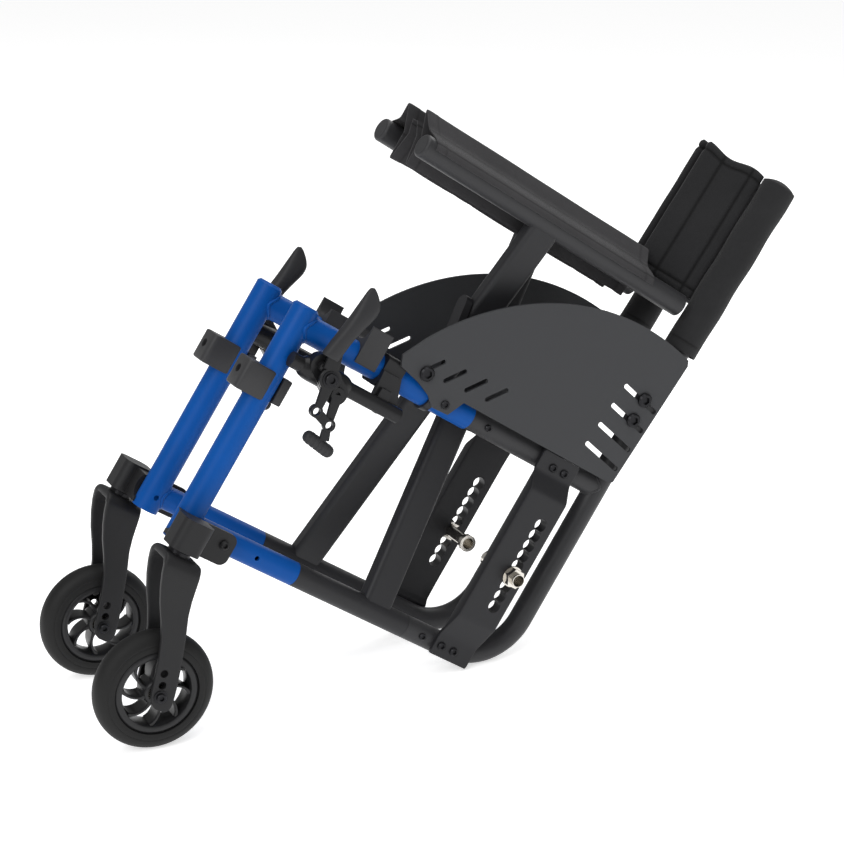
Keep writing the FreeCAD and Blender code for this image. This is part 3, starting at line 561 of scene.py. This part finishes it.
def back_cloth(side, g):
    """The padded back panel of one side: a V-shaped profile carried up the post."""
    line = rounded(np.vstack([unit(BACK_RIDGE) * 20.0, BACK_RIDGE, BACK_END]), 4)
    s, across = run_and_across(line)
    h = np.linspace(BACK_LOW, BACK_HIGH, 90)
    from_edge = np.minimum(h - BACK_LOW, BACK_HIGH - h)[:, None]
    from_side = np.minimum(s, s[-1] - s)[None]
    inward = np.clip(np.minimum(from_edge, from_side) / 5, 0, 1)
    round_edge = np.sqrt(np.clip(1 - (1 - inward) ** 2, 0.06, 1))
    channels = sum(seam(s - c, 1.6) for c in (14, 48, s[-1] - 12, s[-1] - 50))
    border = seam(h - BACK_LOW - 9, 1.6)[:, None] + seam(h - BACK_HIGH + 9, 1.6)[:, None]
    sewn = np.clip(channels[None] + border, 0, 1)
    thick = 6.5 * round_edge * (1 - 0.5 * sewn)
    wave = 0.9 * np.sin(h[:, None] / 17 + s[None] / 40) + 0.5 * np.sin(h[:, None] / 7.3 - s[None] / 21)
    wave = wave * np.sin(np.pi * s / s[-1])[None] * np.clip(np.abs(s - 72) / 20, 0.1, 1)[None]
    rise = 2.5 * np.sin(s / 9.0)[None] * np.clip((h - BACK_HIGH + 40) / 40, 0, 1)[:, None]
    grid = np.stack([line[None, :, 0] + across[None, :, 0] * wave,
                     line[None, :, 1] + across[None, :, 1] * wave,
                     np.repeat(h[:, None], len(s), 1) + rise], -1)
    panel, _ = cloth(side + "_back_panel", on_post(grid, g), thick, "black_cloth", "back_cloth",
                     [side + "_back_outer", side + "_back_inner"], None, sewn)
    before = BACK_RIDGE * (1 - BACK_REACH / np.linalg.norm(BACK_RIDGE))
    beyond = BACK_RIDGE + (BACK_END - BACK_RIDGE) / BACK_LEAF * BACK_REACH
    start, end = chair(on_post([[before[0], before[1], 300], [beyond[0], beyond[1], 300]], g))
    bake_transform(panel)
    return panel


def post_sleeve(side, g):
    """The cloth sleeve over the post: a tube whose radius swells and creases a little, with a sewn
    line round it near its lower hem, and closed over the top."""
    h = np.concatenate([np.linspace(158, POST_LONG - 4, 110),
                        np.linspace(POST_LONG - 2, POST_LONG + 1.6, 6)])
    a = np.linspace(0, 2 * np.pi, 72, endpoint=False)
    tuck = np.clip((POST_LONG + 2 - h) / 6, 0, 1) ** 0.5
    crease = 0.5 * np.sin(h[:, None] / 11 + 2 * np.sin(a)[None])
    crease = crease * np.clip((h[:, None] - 150) / 60, 0, 1)
    radius = (18.6 + 1.0 * np.cos(a - 1.2)[None] + crease) * tuck[:, None]
    radius = np.maximum(radius, 0.6)
    grid = np.stack([radius * np.cos(a), radius * np.sin(a), np.repeat(h[:, None], len(a), 1)], -1)
    sewn = np.clip(seam(h - 169, 1.2)[:, None] + seam((a - 3.6) * 19, 1.2)[None], 0, 1)
    sleeve, flat = cloth(side + "_sleeve_cloth", on_post(grid, g), 1.2, "black_cloth", "sleeve_cloth",
                         [side + "_post_sleeve"], side + "_frame", sewn, True)
    return sleeve


back_panels = sides(back_cloth)
sleeves = sides(post_sleeve)
print("back panels", len(back_panels), "sleeves", len(sleeves))

# %% [markdown]
# Casters.  The fork is one casting: a rounded bar of changing width that goes up one leg,
# over the crown and down the other.  Sweeping a rounded rectangle along that path gives one
# closed surface, and three axle holes are then cut through both legs.

# %% Caster forks
STEM_X, STEM_Y = 344.0, WHEEL_Y             # axis of the caster stem


def superellipse(power, around):
    """Points where |a|^p + |b|^p = 1: the signed cosine and sine raised to 2 / p."""
    t = np.linspace(0, 2 * np.pi, around, endpoint=False)
    c, s = np.cos(t), np.sin(t)
    return np.sign(c) * np.abs(c) ** (2 / power), np.sign(s) * np.abs(s) ** (2 / power)


def cut(solid, cutter):
    """Take cutter out of solid and keep the result as the solid's mesh."""
    tool = solid.modifiers.new("cut", "BOOLEAN")
    tool.operation = "DIFFERENCE"
    tool.solver = "EXACT"
    tool.object = cutter
    view = bpy.context.evaluated_depsgraph_get()
    result = bpy.data.meshes.new_from_object(solid.evaluated_get(view))
    solid.modifiers.remove(tool)
    solid.data = result
    mesh = cutter.data
    bpy.data.objects.remove(cutter)
    bpy.data.meshes.remove(mesh)


def drilled(name, shell, tools, finish, body, slot, hides, angle):
    """A piece with each tool's shells cut out of it in turn, then shaded and given its body."""
    made = piece(name, [shell], finish, None, slot, (), angle)
    for tool in tools:
        cut(made, piece("cutter", tool, finish, None, slot))
    made.data.shade_smooth()
    made.data.set_sharp_from_angle(angle=math.radians(angle))
    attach(made, body)
    if hides:
        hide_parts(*hides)
    return made


def fork(side, g):
    """Rows of legs: height, fore-aft centre, half width.  The section is the superellipse
    |a / width|^7 + |b / thick|^7 = 1, and thick grows towards the crown."""
    legs = np.array([[-158, 288.5, 9.0], [-154, 289.5, 11.0], [-146, 291.6, 13.0], [-130, 296.5, 13.3],
                     [-110, 303.5, 13.3], [-92, 311.0, 13.6], [-76, 319.0, 15.0], [-60, 328.0, 16.8],
                     [-45, 334.5, 18.6], [-32, 338.8, 20.0], [-20, 342.0, 20.6]])
    z = np.concatenate([np.linspace(-157.5, -154, 5), np.linspace(-150, -30, 40)])
    y_leg, y_top, bend = 21.0, -15.6, 9.0
    turn = np.linspace(0, np.pi / 2, 10)[1:]
    up = np.stack([np.full(len(z), y_leg), z], -1)
    corner = np.stack([y_leg - bend + bend * np.cos(turn), y_top - bend + bend * np.sin(turn)], -1)
    over = np.stack([np.linspace(y_leg - bend, 0, 8)[1:], np.full(7, y_top)], -1)
    half = np.vstack([up, corner, over])
    path = np.vstack([half, (half * [-1, 1])[-2::-1]])
    heights = np.minimum(path[:, 1], -20.0)
    centre = np.interp(heights, legs[:, 0], legs[:, 1])
    width = np.interp(heights, legs[:, 0], legs[:, 2])
    width = width * np.interp(path[:, 1], [-157.5, -156.5, -154, -150], [0.55, 0.75, 0.93, 1])
    _, normal = run_and_across(path)
    a, b = superellipse(7.0, 32)
    thick = 3.0 + 1.4 * np.clip((path[:, 1] + 60) / 45, 0, 1)
    x = centre[:, None] + width[:, None] * a[None]
    y = g * (STEM_Y + path[:, :1] + normal[:, :1] * thick[:, None] * b[None])
    zz = path[:, 1:] + normal[:, 1:] * thick[:, None] * b[None]
    holes = []
    for dx, dz in ((0, 0), (4.5, 11.5), (9, 23)):
        line = [(WHEEL_X + dx, g * (STEM_Y + end), WHEEL_Z + dz) for end in (-40, 40)]
        holes.append(tube_shell(line, 4.1, 24))
    made = drilled(side + "_fork_casting", (np.stack([x, y, zz], -1), capped_quads(len(path), 32)),
                   [holes], "fork", side + "_caster", "black_fork", [side + "_caster_fork"], 34)
    collar = [(STEM_X, g * STEM_Y, z) for z in (-12.5, -11.5, -7.5, -6.5)]
    stem = [(STEM_X, g * STEM_Y, z) for z in (-14, 10, 21.5)]
    piece(side + "_fork_stem", [tube_shell(collar, [11, 12, 12, 11]), tube_shell(stem, 6.0)], "screw",
          side + "_caster", "black_fork")
    return made


forks = sides(fork)
print("forks", [len(f.data.polygons) for f in forks])

# %% [markdown]
# The wheel is three turned or swept shapes.  The tyre is a thick round-crowned ring with a
# step where it meets the hub; the hub has a rim, a bearing boss and eight thin curved
# spokes nearly as deep as the rim, so little light passes between them.

# %% Caster wheels
SPOKES, SPOKE_DEEP = 8, 11.6        # how many, and half their depth across the wheel, mm


def wheel(side, g):
    """Tyre profile: an ellipse-like crown |w / 14.8|^2.15 + |(r - 47) / 15.5|^2.15 = 1 with a groove."""
    centre = (WHEEL_X, g * WHEEL_Y, WHEEL_Z)
    t = np.radians(np.linspace(-10, 190, 64))
    c, s = np.cos(t), np.sin(t)
    w = 14.8 * np.sign(c) * np.abs(c) ** (2 / 2.15)
    r = 47.0 + 15.5 * np.sign(s) * np.abs(s) ** (2 / 2.15)
    groove = 0.5 * np.exp(-((r - 50.5) / 0.7) ** 2)
    crown = np.stack([w - np.sign(w) * groove, r], -1)
    seat = np.array([[-12.2, 43.9], [12.2, 43.9]])
    piece(side + "_tyre", [lathe_shell(np.vstack([crown, seat]), centre)], "tyre", side + "_caster_wheel",
          "caster_rubber", [side + "_caster_tyre"], 30)
    edge = [(-9.0, 34.9), (-13.3, 36.2), (-13.9, 37.2), (-13.9, 41.0), (-13.3, 41.9), (-12.0, 43.85)]
    rim = [(-3.0, 34.4)] + edge + [(-w, r) for w, r in edge[::-1]] + [(3.0, 34.4)]
    boss = [(-14, 5.2), (-14, 11.0), (-12.8, 12.6), (-8, 14),
            (8, 14), (12.8, 12.6), (14, 11.0), (14, 5.2)]
    shells = [lathe_shell(rim, centre), lathe_shell(boss, centre, 48)]
    u = np.linspace(0, 1, 12)
    reach = 12.5 + 23.3 * u
    half_w = 1.5 + 1.3 * (2 * u - 1) ** 4
    side_a, side_b = superellipse(5.0, 16)
    for k in range(SPOKES):
        bearing = 2 * np.pi * k / SPOKES + 0.42 * u ** 1.6 * g
        x0 = WHEEL_X + reach * np.cos(bearing)
        z0 = WHEEL_Z + reach * np.sin(bearing)
        tx, tz = np.gradient(x0), np.gradient(z0)
        size = np.hypot(tx, tz)
        x = x0[:, None] - (tz / size * half_w)[:, None] * side_a
        z = z0[:, None] + (tx / size * half_w)[:, None] * side_a
        y = g * WHEEL_Y + 0 * x + SPOKE_DEEP * side_b[None]
        shells.append((np.stack([x, y, z], -1), capped_quads(12, 16)))
    piece(side + "_hub", shells, "hub", side + "_caster_wheel", "hub_plastic", [side + "_caster_hub"], 40)
    bearing = [(-14.3, 5.0), (-14.3, 9.5), (14.3, 9.5), (14.3, 5.0)]
    piece(side + "_hub_bearing", [lathe_shell(bearing, centre, 48)], "nickel",
          side + "_caster_wheel", "bright_nickel")
    return centre


wheels = sides(wheel)
print("wheels at", wheels)

# %% [markdown]
# The wheel-lock grip is a soft moulded paddle with a beak that leans back.  Its outline is
# given as a row of stations from the neck to the tip; each station is a superellipse, so
# the paddle is smooth all round and closes to a small cap.

# %% Wheel-lock grips
LEVER_Y = 96.65     # middle of the lever, outboard of the middle plane


def grip(side, g):
    """Stations: height, rear edge, front edge, half thickness.  Rings are lofted through them."""
    st = np.array([[229, 297, 314.5, 6.0], [231, 296, 315, 7.4], [245, 294.6, 312.6, 8.0],
                   [258, 292.4, 310.0, 8.4], [270, 289.0, 308.2, 8.5], [279, 285.6, 307.2, 8.2],
                   [287, 283.2, 306.6, 7.4], [293, 283.4, 306.2, 6.4], [298, 286.6, 305.8, 5.3],
                   [303, 291.4, 305.4, 4.1], [307.5, 296.6, 304.8, 2.8], [310, 300.2, 303.6, 1.2]])
    u = np.linspace(0, len(st) - 1, 60)
    s = np.stack([np.interp(u, np.arange(len(st)), st[:, k]) for k in range(4)], -1)
    kernel = np.ones(5) / 5
    padded = np.vstack([np.repeat(s[:1], 2, 0), s, np.repeat(s[-1:], 2, 0)])
    s = np.stack([np.convolve(padded[:, k], kernel, "valid") for k in range(4)], -1)
    a, b = superellipse(2.6, 36)
    mid, half = (s[:, 1] + s[:, 2]) / 2, (s[:, 2] - s[:, 1]) / 2
    x = mid[:, None] + half[:, None] * a[None]
    y = g * (LEVER_Y + s[:, 3][:, None] * b[None])
    z = s[:, 0][:, None] - 0.35 * (x - mid[:, None]) * np.clip((s[:, 0] - 285) / 25, 0, 1)[:, None]
    return piece(side + "_grip", [(np.stack([x, y, z], -1), capped_quads(60, 36))], "grip",
                 side + "_lock_lever", "grip_rubber", [side + "_lock_grip"], 50)


grips = sides(grip)
print("grips", [g.name for g in grips])

# %% [markdown]
# The wheel lock is a small linkage, and most of its character is in the see-through rings
# at its pins.  Links are made as flat bars that stop at the rings, so the holes stay open.

# %% Wheel-lock linkage
LEVER_PIVOT, LEVER_PIN = (304.0, 218.0), (289.0, 176.0)
PAD_PIN, PAD_PIVOT, SHOE = (267.0, 169.0), (274.0, 200.0), (262.0, 149.0)
LEVER_BOLT, LEVER_WAIST = (293.5, 210.5), (292, 203)
LEVER_LAYER = (94.9, 98.4)          # the flat links lie in three layers, one outside the other
LINK_LAYER = (91.6, 94.6)
ARM_LAYER = (88.3, 91.3)


def bar_shell(a, b, half_a, half_b, y0, y1, g):
    """A flat bar with rounded edges from a to b (forward, up), its half width going from
    half_a to half_b: superellipse sections swept along a straight line."""
    u = np.linspace(0, 1, 6)
    ends = np.array([a, b], float)
    mid = ends[0] + u[:, None] * (ends[1] - ends[0])
    d = unit(ends[1] - ends[0])
    half = half_a + u * (half_b - half_a)
    c, s = superellipse(8.0, 24)
    x = mid[:, :1] - d[1] * half[:, None] * c
    z = mid[:, 1:] + d[0] * half[:, None] * c
    y = g * ((y0 + y1) / 2 + (y1 - y0) / 2 * s[None] + 0 * x)
    return np.stack([x, y, z], -1), capped_quads(6, 24)


def ring_shell(at, y0, y1, r_out, r_in, g):
    """A flat ring about the left-right axis, its four edges eased by 0.4 mm."""
    h = (y1 - y0) / 2
    e = 0.4
    profile = [(-h, r_in + e), (-h, r_out - e), (-h + e, r_out), (h - e, r_out), (h, r_out - e),
               (h, r_in + e), (h - e, r_in), (-h + e, r_in)]
    return lathe_shell(profile, (at[0], g * (y0 + y1) / 2, at[1]), 40)


def toward(a, b, distance):
    """The point at a distance from a on the way to b."""
    a, b = np.array(a, float), np.array(b, float)
    return a + unit(b - a) * distance


def socket_bolt(at, y, r, height, g):
    """A cap screw with a stepped washer and a sunk socket, as one turned profile."""
    profile = [(0, 0.05), (0, r + 2.2), (1.0, r + 2.2), (1.2, r), (height - 0.6, r), (height, r - 0.6),
               (height, r * 0.52), (height * 0.45, r * 0.48), (height * 0.4, 0.05)]
    return lathe_shell([(g * a, b) for a, b in profile], (at[0], g * y, at[1]), 36)


def lock_linkage(side, g):
    """Lever, link, pad arm and shoe of one wheel lock."""
    pivot = [(LEVER_PIVOT[0], g * y, LEVER_PIVOT[1]) for y in (ARM_LAYER[0], 95.2)]
    lever = [bar_shell((305, 252), (298, 219), 6.0, 8.5, *LEVER_LAYER, g),
             ring_shell(LEVER_BOLT, *LEVER_LAYER, 12.0, 2.0, g),
             bar_shell(LEVER_WAIST, toward(LEVER_PIN, LEVER_WAIST, 5.2), 6.5, 4.4, *LEVER_LAYER, g),
             ring_shell(LEVER_PIN, *LEVER_LAYER, 6.6, 4.0, g),
             tube_shell(pivot, 5)]
    piece(side + "_lever_plate", lever, "brake", side + "_lock_lever", "black_nylon", [side + "_lock_lever"])
    piece(side + "_lever_bolt", [socket_bolt(LEVER_BOLT, 98.3, 6.6, 4.2, g)], "screw",
          side + "_lock_lever", "black_screw")
    link = [ring_shell(LEVER_PIN, *LINK_LAYER, 6.8, 4.1, g), ring_shell(PAD_PIN, *LINK_LAYER, 6.8, 4.1, g),
            bar_shell(toward(LEVER_PIN, PAD_PIN, 5.6), toward(PAD_PIN, LEVER_PIN, 5.6),
                      5.2, 5.2, *LINK_LAYER, g)]
    piece(side + "_link_bar", link, "brake", side + "_lock_link", "black_nylon", [side + "_lock_link"])
    sole = np.array([[245.0, 144.0], [283.0, 150.0]])
    u = np.linspace(0, 1, 61)
    along = sole[0] + u[:, None] * (sole[1] - sole[0])
    blunt = np.sqrt(np.clip(1 - (np.abs(2 * u - 1)) ** 8, 0.02, 1))
    ribs = 1 - 0.07 * (np.cos(2 * np.pi * 7 * u) > 0.55) * (np.abs(2 * u - 1) < 0.86)
    shoe_line = np.stack([along[:, 0], np.full(61, g * 86.6), along[:, 1]], -1)
    shoe = tube_shell(shoe_line, 6.9 * blunt * ribs, 28)
    arm = [bar_shell(PAD_PIVOT, toward(PAD_PIN, PAD_PIVOT, 5.2), 6.0, 4.6, *ARM_LAYER, g),
           ring_shell(PAD_PIN, *ARM_LAYER, 6.6, 4.1, g), ring_shell(PAD_PIVOT, *ARM_LAYER, 7.6, 2.5, g),
           bar_shell(toward(PAD_PIN, SHOE, 5.4), (262, 153), 4.8, 5.6, *ARM_LAYER, g)]
    piece(side + "_pad_lever", arm, "brake", side + "_pad_arm", "black_nylon", [side + "_pad_arm"])
    piece(side + "_shoe", [shoe], "grip", side + "_pad_arm", "black_nylon", (), 30)
    barrel_x = np.linspace(258, 322, 34)
    fat = 8.2 + 4.2 * np.clip(1 - (np.abs(barrel_x - 290) / 30) ** 6, 0, 1)
    barrel = tube_shell(np.stack([barrel_x, np.full(34, g * 75.5), np.full(34, 209.0)], -1), fat, 36)
    screw = socket_bolt((218, 222), 71.0, 3.4, 2.6, g)
    piece(side + "_lock_barrel", [barrel], "brake", side + "_frame", "black_nylon")
    piece(side + "_lock_screw", [screw], "screw", side + "_frame", "black_screw")


sides(lock_linkage)
print("wheel-lock linkages made")

# %% [markdown]
# Small things tell the eye how a frame is joined: here a raised weld bead runs round each
# tube where it meets an upright one.

# %% Weld beads


def weld(name, side, g, upright_x, upright_r, way, z, r, bead, finish, slot):
    """A bead round a level tube of radius r where it meets an upright one: its distance from
    the upright tube's axis is sqrt(upright_r^2 - y^2), y being its own side measure."""
    t = np.linspace(0, 2 * np.pi, 72, endpoint=False)
    side_way = r * np.cos(t)
    path = np.zeros((72, 3))
    path[:, 0] = upright_x + way * np.sqrt(np.clip(upright_r ** 2 - side_way ** 2, 1.0, None))
    path[:, 1] = g * (HALF + side_way)
    path[:, 2] = z + r * np.sin(t)
    ripple = bead * (1 + 0.10 * np.sin(26 * t))
    middle = np.array([path[:, 0].mean(), g * HALF, path[:, 2].mean()])
    tangent = unit(np.roll(path, -1, 0) - np.roll(path, 1, 0))
    outward = path - middle
    outward -= (outward * tangent).sum(1, keepdims=True) * tangent
    outward = unit(outward)
    third = np.cross(tangent, outward)
    a = np.linspace(0, 2 * np.pi, 12, endpoint=False)[None, :, None]
    ring = path[:, None] + ripple[:, None, None] * (np.cos(a) * outward[:, None] + np.sin(a) * third[:, None])
    return piece(side + "_" + name, [(ring, grid_quads(72, 12, True, True))], finish, side + "_frame", slot)


def welds(side, g):
    """The three welds of a side frame that show."""
    weld("weld_top", side, g, FRONT_X, FRONT_R, -1, TOP_Z, 13.9, 1.9, "blue", "blue_frame")
    weld("weld_low", side, g, FRONT_X, FRONT_R, -1, LOW_Z, 12.4, 1.7, "blue", "blue_frame")
    weld("weld_rear", side, g, POST_X, REAR_R, 1, TOP_Z, 12.2, 1.6, "black_tube", "black_frame")


sides(welds)
print("welds made")

# %% [markdown]
# The axle plate is a bent plate at its tabs but a deep formed bar in the middle, so a look
# through its axle positions mostly meets their own dark walls.

# %% Axle plates
AXLE_X = -23.0                          # fore-aft place of the axle positions
AXLE_HOLES, AXLE_PITCH = 9, 12.5        # how many, and their spacing
AXLE_LOW, AXLE_R = 78.0, 7.2            # height of the lowest one, and their radius
PLATE_TAB = HALF + REAR_R               # the plate's tabs lie on the outside of the frame tubes
PLATE_THICK, PLATE_OUT = 5.0, 18.3      # its thickness there, and how far its bar stands out
PLATE_IN = 4.5                          # the bar starts this far out from the tubes
PLATE_MID_X, PLATE_HALF_X = -14.5, 25.5


def axle_plate(side, g):
    """Rounded-box rings up the plate: depth and stand-off from the frame follow its height."""
    heights = np.concatenate([[1.0, 1.6], np.linspace(3, 250, 84), [251.4, 252.0]])
    outer = PLATE_TAB + np.interp(heights, [25, 54, 210, 228],
                                  [PLATE_THICK, PLATE_OUT, PLATE_OUT, PLATE_THICK])
    inner = PLATE_TAB + np.interp(heights, [27, 34, 226, 233], [0, PLATE_IN, PLATE_IN, 0])
    ends = np.interp(heights, [1.0, 3.0, 250, 252], [0.96, 1, 1, 0.96])
    a, b = superellipse(16.0, 44)
    x = PLATE_MID_X + PLATE_HALF_X * ends[:, None] * a[None]
    y = g * ((outer + inner)[:, None] / 2 + (outer - inner)[:, None] / 2 * ends[:, None] * b[None])
    z = np.repeat(heights[:, None], 44, axis=1)
    holes = []
    for k in range(AXLE_HOLES):
        up = AXLE_LOW + AXLE_PITCH * k
        line = [(AXLE_X, g * (PLATE_TAB - 3), up), (AXLE_X, g * (PLATE_TAB + 24), up)]
        holes.append(tube_shell(line, AXLE_R + 0.01 * (k % 2), 28))
    # Neighbouring holes overlap, so every second one is cut first and the rest after.
    return drilled(side + "_formed_axle_plate",
                   (np.stack([x, y, z], -1), capped_quads(len(heights), 44)),
                   (holes[0::2], holes[1::2]), "plate", side + "_frame", "black_frame",
                   [side + "_axle_plate"], 30)


plates = sides(axle_plate)
print("axle plates", [len(p.data.polygons) for p in plates])

# %% [markdown]
# Each side frame carries two cradles, saddles on the top tube that the seat rail drops into,
# and an accessory clamp on its front tube: a block with a screw hole in front, a small block
# behind.  A cradle has the same outline all along, so it is drawn once and pulled along x.

# %% Tube clamps
SEATED_Z, SEATED_R = 272.8, 13.1    # the rail's axis when the chair is open, and its cradle
CLAMP_Z = 173.5                     # accessory clamp, half-way up the front tube
CLAMP_HIGH = 16.0                   # half its height


def cradle_shell(g, x0, x1, r, low):
    """Outline: straight sides, an arc r about the top tube, an arc about the seated rail."""
    seat = np.radians(np.linspace(0, -180 + math.degrees(math.asin(3 / SEATED_R)), 30))
    reach = math.acos((TOP_Z - low) / r) if low < TOP_Z else math.pi - math.acos((low - TOP_Z) / r)
    saddle = np.linspace(-reach, reach, 40)
    outline = np.vstack([
        [[15.4, low], [16, low + 1], [16, SEATED_Z + 3], [15, SEATED_Z + 4], [SEATED_R, SEATED_Z + 4]],
        np.stack([SEATED_R * np.cos(seat), SEATED_Z + SEATED_R * np.sin(seat)], -1),
        [[-15.2, SEATED_Z - 3], [-16, SEATED_Z - 4], [-16, low + 1], [-15.4, low]],
        np.stack([r * np.sin(saddle), TOP_Z + r * np.cos(saddle)], -1)])
    rows = np.array([x0, x0 + 0.5, x1 - 0.5, x1])
    ring = np.stack([np.repeat(rows[:, None], len(outline), 1),
                     np.repeat(g * (HALF + outline[None, :, 0]), 4, 0),
                     np.repeat(outline[None, :, 1], 4, 0)], -1)
    return ring, capped_quads(4, len(outline))


def block_shell(g, x0, x1, half_y, z0, z1, power):
    """A rounded box: superellipse rings across, drawn in a little at both ends."""
    a, b = superellipse(power, 48)
    z = np.array([z0, z0 + 0.5, z0 + 1.5, z1 - 1.5, z1 - 0.5, z1])
    draw = np.array([0.93, 0.97, 1, 1, 0.97, 0.93])[:, None]
    x = (x0 + x1) / 2 + (x1 - x0) / 2 * draw * a[None]
    y = g * (HALF + half_y * draw * b[None])
    return np.stack([x, y, np.repeat(z[:, None], 48, 1)], -1), capped_quads(6, 48)


def clamps(side, g):
    """Cradles as they are measured; the accessory block is cut by the tube and its screw hole."""
    cradles = [cradle_shell(g, 237, 263, FRONT_R, TOP_Z - 6), cradle_shell(g, -17, 7, REAR_R, TOP_Z + 11)]
    behind = block_shell(g, FRONT_X - 25, FRONT_X - 14.6, 8, CLAMP_Z - 14, CLAMP_Z + 14, 9)
    piece(side + "_clamp_cradles", cradles + [behind], "clamp", side + "_frame", "black_nylon",
          [side + "_tube_clamps"], 30)
    bore = tube_shell([(FRONT_X, g * HALF, CLAMP_Z + end) for end in (-30, 30)], FRONT_R + 0.05, 48)
    hole = tube_shell([(FRONT_X + end, g * HALF, CLAMP_Z + 2) for end in (16, 40)], 4.6, 28)
    return drilled(side + "_accessory_block",
                   block_shell(g, FRONT_X - 3, FRONT_X + 33, 15.5,
                               CLAMP_Z - CLAMP_HIGH, CLAMP_Z + CLAMP_HIGH, 6),
                   ([bore], [hole]), "clamp", side + "_frame", "black_nylon", (), 30)


blocks = sides(clamps)
print("tube clamps", [len(b.data.polygons) for b in blocks])

# %% [markdown]
# The caster axle is a cap screw through both fork legs with a like head inboard.

# %% Caster axle bolts
LEG_FACE = 24.2     # a fork leg's outer face, from the wheel's middle plane


def axle_bolt(side, g):
    """A turned head on the outer face of each fork leg, and the shaft between."""
    at = (WHEEL_X, WHEEL_Z)
    heads = [socket_bolt(at, LEG_FACE + WHEEL_Y, 4.8, 4.4, g),
             socket_bolt(at, LEG_FACE - WHEEL_Y, 4.8, 4.4, -g)]
    shaft = tube_shell([(WHEEL_X, g * (WHEEL_Y + end), WHEEL_Z) for end in (-25, 25)], 4.9)
    return piece(side + "_axle_bolt", heads + [shaft], "screw", side + "_caster", "black_screw",
                 [side + "_caster_axle"])


bolts = sides(axle_bolt)
print("caster axle bolts", len(bolts))
